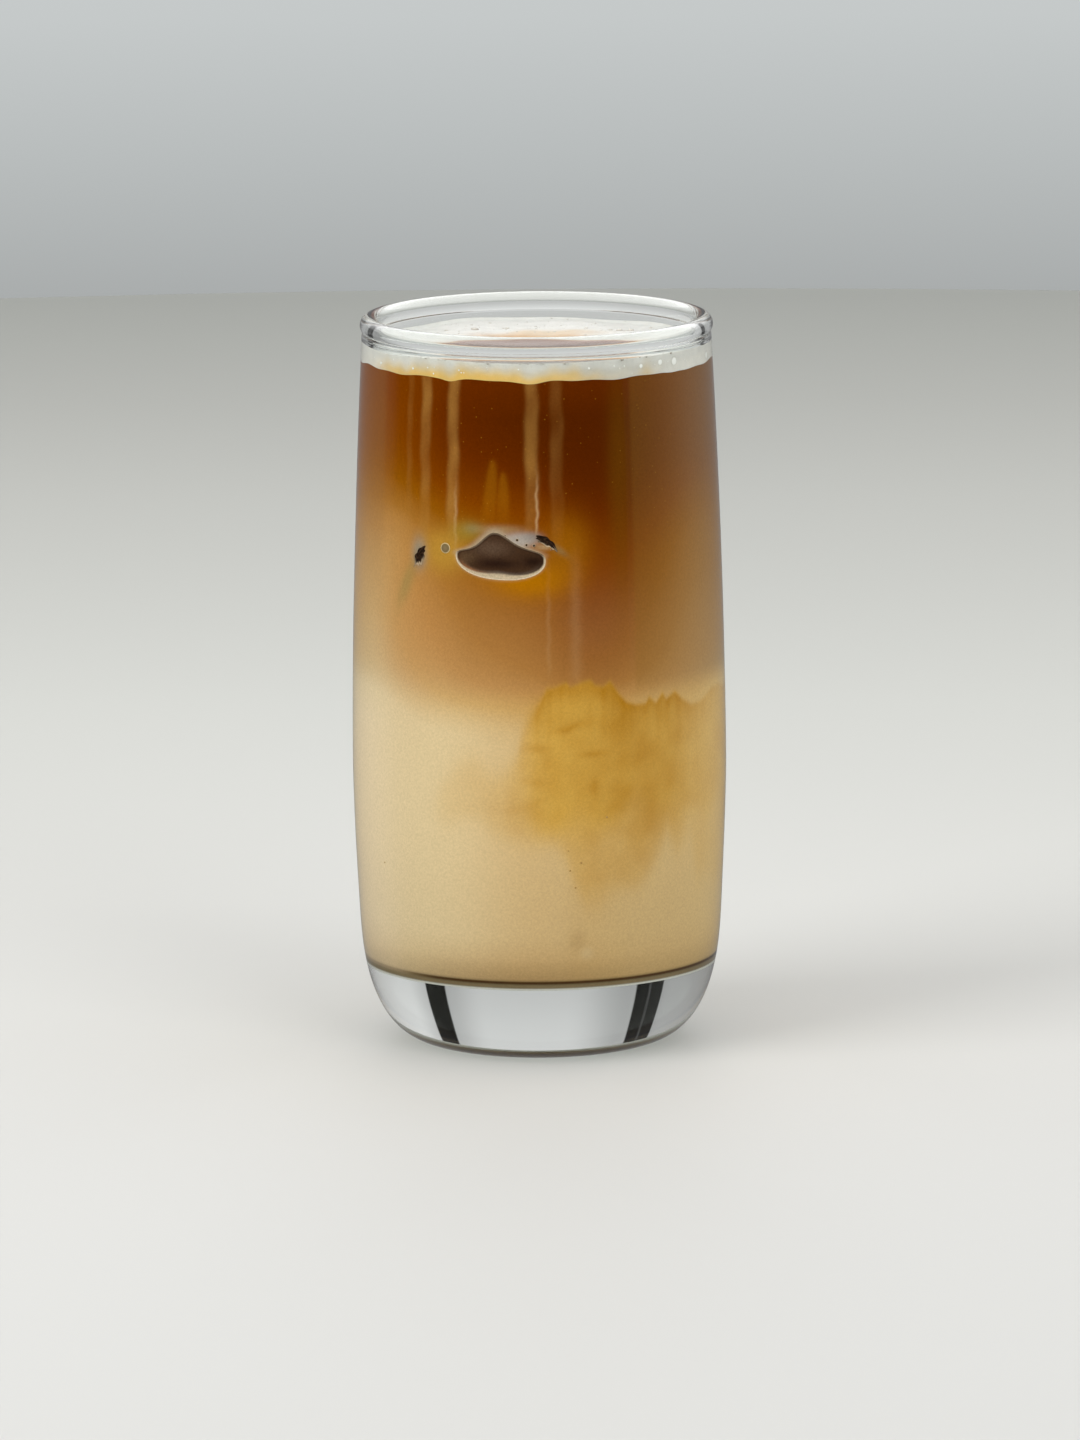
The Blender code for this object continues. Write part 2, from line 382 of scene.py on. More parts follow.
def wet_crema():
    """Crema on espresso: a glossy brown film, paler and mauve where milk foam thins into it, and
    paler at its back as a painted highlight.
    """
    material, tree = new_material("wet_crema")
    place = add_node(tree, "TexCoord").outputs["Object"]
    fringe = add_node(tree, "Attribute", {"attribute_name": "foam_fringe_and_highlight"}).outputs["Fac"]
    # Marbling 3 mm across
    swirls = {"Scale": 1 / (3 * MM), "Detail": 4.0, "Distortion": 0.8}
    marbling = add_node(tree, "TexNoise", swirls, {"Vector": place}).outputs["Fac"]
    shift = add_node(tree, "Math", {"operation": "MULTIPLY_ADD", 1: 0.3, 2: -0.15}, {0: marbling})
    along_ramp = add_node(tree, "Math", {"operation": "ADD"}, {0: fringe, 1: shift})
    colour = add_node(tree, "ValToRGB", links={"Fac": along_ramp})
    set_stops(colour, [(0.0, "6f4a38"), (0.4, "80563f"), (0.7, "b08a66"), (1.0, "d9c3a4")])
    glossy = {"Roughness": 0.12, "IOR": 1.34}
    skin = add_node(tree, "BsdfPrincipled", glossy, {"Base Color": colour})
    add_node(tree, "OutputMaterial", links={"Surface": skin})
    return material


def wet_ice():
    """Ice frozen clear and pressed wet to the glass: dark, since the eye goes through it into the
    espresso, with a pale speckled ring of trapped milk at its edge."""
    material, tree = new_material("wet_ice")
    place = add_node(tree, "TexCoord").outputs["Object"]
    # Grains 0.35 mm across
    tone = speckled(tree, place, "ice_colour", 0.35, 2.0, 0.84, 1.16)
    dull = {"Roughness": 0.4, "Specular IOR Level": 0.05}
    skin = add_node(tree, "BsdfPrincipled", dull, {"Base Color": tone})
    add_node(tree, "OutputMaterial", links={"Surface": skin})
    return material


def bubble_skin(name, stops, roughness):
    """A bubble's film as the eye reads it: its own tone in the middle and another towards its
    edge, which the shader takes from the attribute film_edge."""
    material, tree = new_material(name)
    edge = add_node(tree, "Attribute", {"attribute_name": "film_edge"}).outputs["Fac"]
    colour = add_node(tree, "ValToRGB", links={"Fac": edge})
    set_stops(colour, stops)
    film = {"Roughness": roughness, "Specular IOR Level": 0.3, "IOR": 1.34}
    skin = add_node(tree, "BsdfPrincipled", film, {"Base Color": colour})
    add_node(tree, "OutputMaterial", links={"Surface": skin})
    return material


# The drink's colours at the wall


def mix(colours, *coats):
    """Lay coats on in turn, each a hex colour and an amount from 0 to 1 by which the colours
    move towards it."""
    for code, amount in coats:
        amount = np.clip(amount, 0, 1)[..., None]
        colours = colours * (1 - amount) + linear(code) * amount
    return colours


def glow(bearing, z, place, size, power=1.0):
    """A soft patch about a (bearing, height): e to the minus of the squared distance over its
    half width and half height, with a power that squares its edge up."""
    across = (bearing - place[0]) / size[0]
    up = (z - place[1]) / size[1]
    return np.exp(-((across**2 + up**2) ** power))


def mix_patches(colours, across, up, patches):
    """Lay patches on in turn: hex colour, strength, place, half width and height, and power."""
    for code, strength, place, size, power in patches:
        colours = mix(colours, (code, strength * glow(across, up, place, size, power)))
    return colours


MILK_TONES = (
    (0.00, "4b1b00"), (0.14, "632700"), (0.28, "7b3a00"), (0.42, "8f5206"),
    (0.56, "a36b28"), (0.68, "b68347"), (0.82, "caa269"), (1.00, "dcc398"),
)


def tone_of(share):
    """The colour of a mixture by its share of milk, straight lines between named tones."""
    places = [place for place, _ in MILK_TONES]
    tones = np.array([linear(code) for _, code in MILK_TONES])
    share = np.clip(share, 0, 1)
    return np.stack([np.interp(share, places, tones[:, i]) for i in range(3)], -1)


def milk_share(bearing, z):
    """Milk rises in soft steps at the ice and at the layer's edge, and further up at the sides,
    more on the left than on the right and least at the back. The rise at the sides is partly
    more milk and partly painted light: a lighter left side where the key light falls, and on
    the right the pale veil of a soft box's painted reflection."""
    uneven = 1.3 * ripples(bearing, z, 3, 9, 7, 0.12)
    near_foam = smooth_step(z, 119, 127)
    lean = np.tanh((bearing - 9) / 8) * bump(bearing, 0, 80)
    share = 0.02 + 0.07 * near_foam
    share = share + (0.37 - 0.05 * lean) * sigmoid((103.3 - 2.4 * lean - z + uneven) / 4.5)
    share = share + 0.14 * sigmoid((82 - z + uneven) / 4)
    share = share + 0.45 * sigmoid((68 - z + 0.7 * uneven) / 3)
    share = share - 0.09 * bump(bearing, 12, 20) * between(z, 69, 93, 3, 4)
    # The sides' rise is partly painted light: the lighter left where the key falls, and a soft box's
    # pale painted reflection on the right
    left = 0.30 * sigmoid((-38 - bearing) / 9)
    left = left + 0.07 * sigmoid((101 - z) / 3) * sigmoid((-30 - bearing) / 12)
    left = left + 0.03 * bump(z, 100, 6) * bump(bearing, -50, 9)
    left = left * (1 - 0.8 * sigmoid((-110 - bearing) / 10))
    right = 0.20 * sigmoid((bearing - 44) / 7) * (1 - 0.63 * sigmoid((bearing - 110) / 10))
    return share + (left + right) * sigmoid((z - 66) / 4.5) * (1 - 0.35 * near_foam)


# Bearing, half width in degrees, the height of the foot and strength; the last five are behind
STREAKS = (
    (-46.5, 1.3, 103, 0.17), (-39.5, 2.0, 98, 0.37), (-28.7, 2.1, 99, 0.44),
    (-1.9, 2.2, 100, 0.33), (6.3, 2.1, 98, 0.17), (-97.0, 2.4, 105, 0.4),
    (118.0, 2.4, 96, 0.5), (131.0, 3.0, 104, 0.4), (164.0, 2.6, 92, 0.5), (-150.0, 2.8, 100, 0.5),
)
# Bearing, lowest and highest point, width in degrees and strength
THREADS = (
    (-27.6, 96.6, 106, 0.42, 0.3), (-0.3, 99.0, 108, 0.4, 0.45),
    (3.2, 74, 93, 0.7, 0.08), (11.9, 72, 95, 1.9, 0.09),
)
# Bearing, height of the tip, width in degrees, and how much it flares
TONGUES = ((-14.7, 113.4, 1.9, 0.05), (-11.3, 111.2, 1.8, 0.0))


def streaks(bearing, z):
    """Bands of milk running down from the foam: flat-topped hills in bearing that wander a
    little, blotch with a seeded ripple and fade at their feet."""
    blotch = 1 + 0.25 * ripples(bearing * 3, z, 14, 8, 20, 0.9)
    total = np.zeros(np.broadcast(bearing, z).shape)
    for place, width, foot, strength in STREAKS:
        wander = 0.22 * np.sin(z / 2.6 + place) + 0.16 * np.sin(z / 1.1 + 2 * place)
        across = (bearing - place - wander) / width
        total += strength * np.exp(-(across**4)) * sigmoid((z - foot) / 2.2)
    return total * blotch


def threads(bearing, z):
    """Hair-thin bright lines where a band of milk has drawn out, and broader pale ones below the
    ice."""
    total = np.zeros(np.broadcast(bearing, z).shape)
    for place, low, high, width, strength in THREADS:
        line = place + 0.18 * np.sin(z / 0.9) + 0.12 * np.sin(z / 0.37)
        total += strength * bump(bearing, line, width) * between(z, low, high, 0.8, 1.2)
    return total


def flame(bearing, z):
    """A wisp of paler coffee above the ice: two narrow pointed tongues, the left one flaring
    outwards towards its foot."""
    total = np.zeros(np.broadcast(bearing, z).shape)
    for place, tip, width, flare in TONGUES:
        drop = np.maximum(tip - z, 0)
        half = width * (1 - np.exp(-drop / 2.2)) + 0.04 * drop
        middle = place - flare * drop**1.4
        inside = sigmoid((half - np.abs(bearing - middle)) / 0.35)
        total = np.maximum(total, inside * smooth_step(drop, 0, 1.5))
    return total * smooth_step(z, 99, 106)


# The caramel cloud's upper and lower edges and its strength: bearings and heights, left to right
CLOUD_TOP = (
    (-60, 42), (-38, 48.5), (-31, 53.6), (-17, 54.9), (-11, 56.4), (-7.2, 58.6), (-5.8, 61),
    (-4.2, 63), (-2.2, 65), (0.2, 67.6), (2.4, 70.4), (5, 70.8), (8.7, 71.8), (9.9, 71), (14, 72),
    (16.5, 72.2), (18, 71.1), (20.7, 70.6), (23.1, 71.5), (26.1, 69.2), (28.7, 67.7), (32.2, 67),
    (35.9, 67), (37.3, 68.2), (39.9, 66.9), (42.8, 68.6), (44.3, 67.2), (48.2, 68.3), (51.6, 66.6),
    (56, 65.7), (62.5, 65.9), (70, 67), (77, 67.3), (84, 66), (92, 67.2), (101, 65.4), (112, 66.4),
    (124, 63), (134, 50),
)
CLOUD_FOOT = (
    (-60, 47), (-40, 46), (-15, 43.5), (-2, 43), (4, 42), (8, 39.5), (12, 35), (15, 32.4), (20, 31.7),
    (32.6, 33.8), (41.9, 40.4), (44.9, 42.8), (49.7, 38.6), (55.8, 40.3), (62, 34.2), (74.5, 30.3),
    (88, 33), (100, 38), (134, 48),
)
CLOUD_STRENGTH = (
    (-42, 0.0), (-34, 0.22), (-20, 0.27), (-12, 0.38), (-6, 0.62), (-1, 0.9), (5, 1.0),
    (45, 0.95), (56, 0.76), (80, 0.8), (118, 0.7), (132, 0.0),
)


def along(bearing, points):
    """A value that runs in straight lines between (bearing, value) points."""
    places, values = zip(*points)
    return np.interp(bearing, places, values)


def caramel_cloud(bearing, z):
    """Where crema has sunk into the milk: between its upper and its lower edge, crisp above,
    soft on the left and below, and thinner in its lower half."""
    ragged = ripples(bearing, z, 8, 9, 22, 0.45)
    soft = 0.22 + 1.3 * sigmoid((-1.0 - bearing) / 1.4)
    below = sigmoid((along(bearing, CLOUD_TOP) - z + soft * 0.7 * ragged) / soft)
    above = sigmoid((z - along(bearing, CLOUD_FOOT) + 0.9 * ragged) / 1.3)
    body = 0.5 + 0.5 * smooth_step(z + 1.5 * ragged, 40, 50)
    return below * above * body * along(bearing, CLOUD_STRENGTH)


# Leaf-shaped wisps in the cloud: middle, half width and height, lean and strength
CLOUD_WISPS = (
    ((9.5, 63.6), (6.2, 0.8), 0.15, 0.9), ((-1.4, 59.8), (3.8, 0.85), 0.0, 0.7),
    ((2.6, 57.4), (1.4, 2.0), -0.3, 0.35), ((17.2, 58.6), (4.8, 0.65), 0.03, 0.85),
    ((17.2, 52.5), (1.7, 1.9), 0.0, 0.9), ((-5.0, 53.8), (2.0, 0.7), 0.0, 0.45),
    ((-0.5, 53.7), (2.6, 0.7), 0.08, 0.45), ((-8.8, 48.9), (3.4, 0.7), 0.1, 0.5),
    ((-0.8, 50.0), (2.8, 0.7), 0.2, 0.4), ((-23.0, 48.1), (2.6, 1.2), 0.0, 0.35),
    ((-29.5, 47.9), (2.4, 1.1), 0.0, 0.3), ((26.0, 48.4), (3.4, 1.4), 0.0, 0.55),
    ((34.0, 57.9), (5.5, 1.5), 0.05, 0.4), ((46.0, 52.2), (4.5, 2.6), 0.0, 0.35),
    ((36.0, 49.0), (4.0, 4.0), 0.0, 0.4), ((49.0, 60.0), (4.0, 5.0), 0.0, 0.25),
    ((42.5, 64.6), (1.8, 3.0), 0.0, 0.5), ((14.0, 70.2), (9.0, 1.6), 0.0, 0.45),
    ((27.0, 64.0), (4.0, 3.4), 0.0, 0.3),
)


def cloud_wisps(bearing, z):
    """Darker ochre in the cloud: along its upper edge and to the right, in soft blotches of three
    finer and finer ripples, in fine upright streaks, and in leaf-shaped wisps."""
    blotch = 0.5 * ripples(bearing, z, 19, 9, 16, 0.5) + 0.35 * ripples(bearing, z, 20, 9, 34, 1.0)
    blotch = blotch + 0.25 * ripples(bearing, z, 22, 9, 70, 1.9)
    total = 0.22 * bump(bearing, 31, 20) + np.clip(0.12 + 0.13 * blotch, 0, 1)
    depth = np.maximum(along(bearing, CLOUD_TOP) - z, 0)
    total = total + 0.6 * np.exp(-depth / 1.9) * sigmoid((bearing + 3) / 2)
    curtain = smooth_step(ripples(bearing, z, 23, 12, 120, 0.12), -0.4, 1.8)
    total = total + 0.16 * curtain * smooth_step(z, 56, 66)
    for place, size, lean, strength in CLOUD_WISPS:
        tilted = z - lean * (bearing - place[0]) + 0.25 * blotch
        leaf = 0.55 * strength * glow(bearing + 0.7 * blotch, tilted, place, size)
        total = total + leaf * (1 - np.clip(total, 0, 1))
    return total


def patch_outline(turn):
    """The ice's wetted outline on the wall, across and up in mm: a flat ellipse whose upper half
    carries a hump left of the middle, with rounded ends, on a base line that falls rightwards."""
    across = 8.15 * np.sign(np.cos(turn)) * np.abs(np.cos(turn)) ** 0.9
    arch = np.abs(np.sin(turn))
    crown = 1.75 + 0.35 * np.tanh((across + 1) / 3)
    hump = 2.95 * bump(across, -1.1, np.where(across > -1.1, 3.7, 2.9))
    upper = crown * arch**0.6 + hump * arch**0.5
    up = np.where(np.sin(turn) > 0, upper, -3.75 * arch**0.95)
    return across, up - 0.05 - 0.045 * across


def ice_distance(bearing, z):
    """Millimetres outside the ice's outline along the line from its middle; negative inside."""
    turn = np.linspace(-math.pi, math.pi, 721)
    across, up = patch_outline(turn)
    heading = np.arctan2(up, across)
    order = np.argsort(heading)
    reach = np.hypot(across, up)[order]
    x = np.radians(bearing - ICE_BEARING) * WALL_NEAR_ICE
    y = z - ICE_HEIGHT
    edge = np.interp(np.arctan2(y, x), heading[order], reach, period=2 * math.pi)
    return np.hypot(x, y) - edge


# Melt water and milk round the ice, below its pale film and above it
STAINS_UNDER = (
    ("b88a34", 0.75, (-32, 95.6), (8.5, 4.0), 1.3),
    ("97802f", 0.6, (-23.5, 99.4), (5.5, 2.0), 1.2),
    ("827650", 0.55, (-21.5, 100.0), (3.0, 0.9), 1.0),
    ("ad6a00", 0.85, (-3, 90.8), (13, 3.4), 1.3),
    ("a2660a", 0.5, (10, 96.5), (7, 6), 1.1),
    ("a89068", 0.5, (-12, 100.0), (7.5, 0.8), 1.2),
)
STAINS_OVER = (
    ("a99d93", 0.95, (-5.6, 98.2), (5.6, 1.35), 1.8),
    ("857c76", 0.65, (-1.8, 98.7), (3.4, 0.9), 1.4),
    ("b49a74", 0.6, (2.0, 96.9), (2.8, 0.55), 1.2),
    ("8a877b", 0.75, (-41.6, 94.8), (3.0, 2.9), 1.2),
    ("716f68", 0.5, (-41.3, 93.6), (1.8, 1.3), 1.0),
)
# Painted shade and light of a small dent in the milk: a darker patch with a paler one below it to the
# right
PAINTED_DIMPLE_SHADING = (
    ("ad8c5c", 0.4, (12.2, 24.0), (2.8, 2.0), 1.5),
    ("dcc49a", 0.35, (15.4, 21.5), (2.2, 1.1), 1.2),
)


def stain_round_ice(colours, bearing, z):
    """Melt water and milk round the ice: gold to the left, orange below, a pale film above and
    to the upper right, dusky halos about the two chips and a thin pale line on the outline."""
    near = np.maximum(ice_distance(bearing, z), 0)
    above = smooth_step(z, 94.5, 96.5)
    right_trail = glow(bearing, z + 0.35 * (bearing - 6.8), (6.8, 96.3), (2.8, 0.7), 1.1)
    left_trail = glow(bearing - 0.75 * (z - 89.5), z, (-46.5, 89.0), (2.6, 4.6), 1.2)
    colours = mix_patches(colours, bearing, z, STAINS_UNDER)
    colours = mix(colours, ("b0a18a", 0.7 * above * np.exp(-((near / 0.75) ** 2))))
    return mix(
        mix_patches(colours, bearing, z, STAINS_OVER),
        ("857048", 0.55 * right_trail),
        ("94804a", 0.55 * left_trail),
        ("d2b48a", 0.5 * np.exp(-near / 0.16) * (1 - 0.6 * above)),
    )


def drink_colours(bearing, z):
    """The whole drink's colour at the wall, laid on in turn: the mixture's tone, the haze below
    the ice, painted reflections of soft boxes at the left edge and on the right, bands and
    threads of milk, painted light on the milk's sides, the cloud, the stains round the ice, the
    painted shade and light of a dimple in the milk, painted shade towards the bottom, and the
    painted lines of the lowest edge where it is seen through the thick base."""
    upper = smooth_step(z, 66, 72)
    lower = 1 - upper
    # Painted reflection: a soft box's veil on the glass near the left edge, sharp at its inner side
    painted_veil_left = between(bearing, -115, -59.5, 8, 0.8)
    painted_light_left = between(bearing, -135, -57, 9, 6)
    cloud = caramel_cloud(bearing, z)
    # Weights of the painted shade at the bottom: full in the middle, half at the sides
    centre = 1 - 0.5 * sigmoid((bearing - 12) / 8) - 0.5 * sigmoid((-40 - bearing) / 6)
    colours = mix(
        tone_of(milk_share(bearing, z)),
        ("b79a7c", 0.12 * sigmoid((87 - z) / 3) * upper),
        ("b5722c", 0.38 * glow(bearing, z, (-46, 80), (14, 12), 1.2)),
        # Painted reflection of the left soft box: pinkish brown over the coffee, pale lower down
        ("8a6238", 0.28 * painted_veil_left * sigmoid((z - 94) / 5)),
        ("cfae86", 0.08 * painted_veil_left * between(z, 72, 94, 4, 5)),
        # Painted reflection of the right soft box: a veil with a sharp left edge, greyer further
        # right
        ("84601e", 0.26 * between(bearing, 32.2, 110, 0.35, 6) * upper),
        ("a09c84", 0.19 * between(bearing, 55, 112, 7, 6) * upper),
        ("6e4a0c", 0.34 * glow(bearing, z, (28.0, 108), (4.5, 20), 1.4)),
        ("ac7b3a", streaks(bearing, z)),
        ("a5690f", 0.32 * flame(bearing, z)),
        ("dcb887", threads(bearing, z)),
        ("c6a05f", 0.45 * between(bearing, -2, 135, 14, 9) * lower),
        ("bb8a44", 0.36 * between(bearing, -19, 17, 7, 6) * lower),
        # Painted light: the milk's left side lightened against the lighting's fall-off round the
        # glass
        ("f0d8b6", 0.62 * painted_light_left * smooth_step(-z, -74, -61)),
        ("cb9c44", 0.94 * cloud),
        ("a86f12", cloud * cloud_wisps(bearing, z)),
        # Painted light: the milk's right side lightened the same way
        ("ecc98c", 0.40 * between(bearing, 62, 115, 5, 8) * lower),
    )
    colours = mix_patches(stain_round_ice(colours, bearing, z), bearing, z, PAINTED_DIMPLE_SHADING)
    # Painted shade towards the bottom: warm brown low in the middle, then every colour dimmed below
    # 46 mm
    colours = mix(colours, ("a8804c", 0.5 * centre * smooth_step(26 - z, 0, 9)))
    colours = colours * (1 - 0.10 * smooth_step(46 - z, 0, 26))[..., None]
    return painted_base_edge(colours, bearing, z)


def painted_base_edge(colours, bearing, z):
    """The drink's last millimetres, painted with what the thick base shows there: a thin dark line
    that pales at the far left and a broader grey-gold one, both painted refractions of dark
    surroundings, then a white line that is a painted highlight."""
    dark = 1 - 0.6 * between(bearing, -125, -50, 9, 4)
    return mix(
        colours,
        ("452b14", dark * sigmoid((16.45 - z) / 0.06)),
        ("8d7b5c", sigmoid((15.8 - z) / 0.08)),
        ("f0eee6", sigmoid((14.95 - z) / 0.04)),
    )


def oil_specks(bearing, z):
    """Where fine golden specks of coffee oil hang: all over the dark upper coffee."""
    return smooth_step(z, 92, 104) * (1 - 0.6 * sigmoid((np.abs(bearing) - 50) / 8))


# Pieces


def ride_as(obj, material, slot, *nodes):
    """Give the piece its material, hang it on the frame and let it stand for its CAD nodes."""
    obj.data.materials.append(material)
    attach(obj, "root")
    if nodes:
        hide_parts(*nodes)


def stack_profile(parts):
    """Join (radii, heights) parts end to end; a single number goes with all of its partner."""
    pairs = [np.broadcast_arrays(radius, z) for radius, z in parts]
    return np.concatenate([radius for radius, _ in pairs]), np.concatenate([z for _, z in pairs])


def make_tumbler():
    """The glass: foot, heel, wall, rim bead, inner wall and floor, turned once round."""
    heel = HEEL_HEIGHT * (1 - np.sin(np.linspace(math.pi / 2, 0, 34)) ** (2 / HEEL_POWER))
    sweep = np.radians(np.linspace(-38, 215, 38))
    bead_z = HEIGHT - BEAD_RADIUS + BEAD_RADIUS * np.sin(sweep)
    wall = np.linspace(HEEL_HEIGHT, bead_z[0] - 1.2, 60)[1:]
    neck = np.linspace(wall[-1], bead_z[0], 22)[1:-1]
    # Outside, a fine groove under the bead catches the light from above
    neck_radius = outer_radius(neck) - 0.06 * bump(neck, bead_z[0] - 0.42, 0.2)
    # Inside, the bead runs out into the wall by a fading power of e
    fillet = np.linspace(bead_z[-1] - 0.15, bead_z[-1] - 5, 18)
    lining = np.concatenate([fillet, np.linspace(fillet[-1], FLOOR_HEIGHT + FLOOR_CORNER, 54)[1:]])
    proud = inner_radius(bead_z[-1]) - BEAD_CENTRE - BEAD_RADIUS * np.cos(sweep[-1])
    corner_radius, corner_z = floor_corner(0.0, 12)
    radius, z = stack_profile(
        [
            (np.linspace(0.25, 0.98, 6) * FOOT_RADIUS, 0.0),
            (outer_radius(heel), heel),
            (outer_radius(wall), wall),
            (neck_radius, neck),
            (BEAD_CENTRE + BEAD_RADIUS * np.cos(sweep), bead_z),
            (inner_radius(lining) - proud * np.exp(-(bead_z[-1] - lining) / 1.15), lining),
            (corner_radius[::-1][1:], corner_z[::-1][1:]),
            (np.linspace(1.0, 0.2, 8)[1:] * corner_radius[0], FLOOR_HEIGHT),
        ]
    )
    bearing = np.linspace(-180, 180, 256, endpoint=False)
    uneven = 0.02 * ripples(bearing[None, :], z[:, None], 5, 8, 9, 0.15)
    fade = np.clip((z - 26) / 10, 0, 1) * np.clip((133 - z) / 8, 0, 1)
    radius = radius[:, None] + uneven * fade[:, None]
    rings = around(bearing, radius, z[:, None])
    tumbler = closed_rings("tumbler", rings, (0, 0, 0), (0, 0, FLOOR_HEIGHT))
    keep_edges(tumbler, 50)
    ride_as(tumbler, soda_lime_glass(), "clear_glass", "glass")


def make_milk_layer(material):
    """The lower layer: a rounded lower edge that sinks a millimetre into the base's glass, then
    the wall up to the layer's swelling top."""
    bearing = front_weighted_bearings(COLUMNS)
    turn = np.linspace(0, math.pi / 2, 26)
    corner_radius, corner_z = floor_corner(SKIN, 26)
    corner_z = corner_z - EDGE_SINK * np.cos(turn) ** 2
    top = LAYER_HEIGHT + layer_swell(bearing)[None, :]
    wall_z = corner_z[-1] + (top - corner_z[-1]) * np.linspace(0, 1, 128)[1:, None]
    inward = np.linspace(0.2, 0.97, 7)[:, None]
    floor_z = FLOOR_HEIGHT - SKIN - EDGE_SINK * smooth_step(inward, 0.7, 1.0)
    lid = np.linspace(0.97, 0.15, 8)[:, None]
    ones = np.ones((1, len(bearing)))
    radius, z = stack_profile(
        [
            (inward * corner_radius[0], floor_z * ones),
            (corner_radius[:, None], corner_z[:, None] * ones),
            (inner_radius(wall_z) + SKIN, wall_z),
            ((inner_radius(top) + SKIN) * lid, LAYER_HEIGHT + (top - LAYER_HEIGHT) * lid**2),
        ]
    )
    layer = drink_layer("milk_layer", bearing, radius, z, FLOOR_HEIGHT - SKIN, LAYER_HEIGHT)
    ride_as(layer, material, "milk", "milk")


def make_espresso_layer(material):
    """The upper layer: from the milk's edge up the wall to just inside the foam."""
    bearing = front_weighted_bearings(COLUMNS)
    base = LAYER_HEIGHT + layer_swell(bearing)[None, :]
    ceiling = FOAM_UNDERSIDE + 1.0
    wall_z = base + (ceiling - base) * np.linspace(0, 1, 168)[:, None]
    under = np.linspace(0.15, 0.97, 8)[:, None]
    lid = np.linspace(0.97, 0.15, 8)[:, None] * np.ones((1, len(bearing)))
    radius, z = stack_profile(
        [
            ((inner_radius(base) + SKIN) * under, LAYER_HEIGHT + (base - LAYER_HEIGHT) * under**2),
            (inner_radius(wall_z) + SKIN, wall_z),
            ((inner_radius(ceiling) + SKIN) * lid, ceiling),
        ]
    )
    layer = drink_layer("espresso_layer", bearing, radius, z, LAYER_HEIGHT, ceiling)
    ride_as(layer, material, "espresso", "coffee")


def drink_layer(name, bearing, radius, z, low, high):
    """A closed layer of the drink with the drink's colours on its rings, and the end rings' mean
    at the poles."""
    layer = closed_rings(name, around(bearing, radius, z), (0, 0, low), (0, 0, high))
    rings = drink_colours(np.broadcast_to(bearing[None, :], z.shape), z)
    ends = np.stack([rings[0].mean(0), rings[-1].mean(0)])
    write_colours(layer, "drink_colour", np.concatenate([rings.reshape(-1, 3), ends]))
    specks = oil_specks(bearing[None, :], z)
    write_values(layer, "oil_specks", np.append(specks.ravel(), [0.0, 0.0]))
    keep_edges(layer, 40)
    return layer


def pool_outline(angle):
    """The pool's edge about its own centre: a circle with 3 broad and 7 small lobes."""
    return POOL_RADIUS * (1 + 0.04 * np.sin(3 * angle + 0.7) + 0.025 * np.sin(7 * angle))


def from_pool(angle, distance):
    """The x and y of points at an angle and a distance from the pool's centre."""
    return POOL_CENTRE[0] + distance * np.cos(angle), POOL_CENTRE[1] + distance * np.sin(angle)


def past_pool(x, y):
    """How far points lie outside the pool's edge."""
    x, y = x - POOL_CENTRE[0], y - POOL_CENTRE[1]
    return np.hypot(x, y) - pool_outline(np.arctan2(y, x))


def wall_reach(angle, radius):
    """How far the wall lies from the pool's centre in each direction."""
    along = POOL_CENTRE[0] * np.cos(angle) + POOL_CENTRE[1] * np.sin(angle)
    offset = POOL_CENTRE[0] ** 2 + POOL_CENTRE[1] ** 2
    return -along + np.sqrt(radius**2 - offset + along**2)


def bearing_of(x, y):
    """The bearing at which a point lies."""
    return np.degrees(np.arctan2(x, -y))


# Bearing and half width of each lobe of the foam's lower edge, and how far it hangs
FOAM_LOBES = ((-30, 3.6, 0.6), (-1, 5, 0.5), (51, 4, 0.35), (-88, 9, 0.3), (-20, 5, -0.3))


def foam_edge(bearing):
    """The height of the foam's lower edge at the wall: small waves, with lobes that hang where
    the broad streaks start."""
    waves = 0.14 * np.sin(np.radians(9 * bearing + 40)) + 0.10 * np.sin(np.radians(23 * bearing))
    edge = FOAM_EDGE + waves
    for place, width, drop in FOAM_LOBES:
        edge = edge - drop * bump(bearing, place, width)
    return edge


def foam_height(x, y):
    """The foam's top: a quarter-round shoulder up from the pool, low seeded lumps, and a small
    climb at the wall."""
    radius = np.hypot(x, y)
    shoulder = np.clip(past_pool(x, y) / 2.5, 0, 1)
    crown = 0.55 * np.sqrt(1 - (1 - shoulder) ** 2)
    lumps = 0.15 * ripples(bearing_of(x, y), radius, 21, 10, 12, 0.5) * shoulder
    climb = FOAM_LIP * smooth_step(radius, inner_radius(FOAM_TOP) - 1.6, inner_radius(FOAM_TOP)) ** 2
    return POOL_HEIGHT + 0.1 + crown + lumps + climb


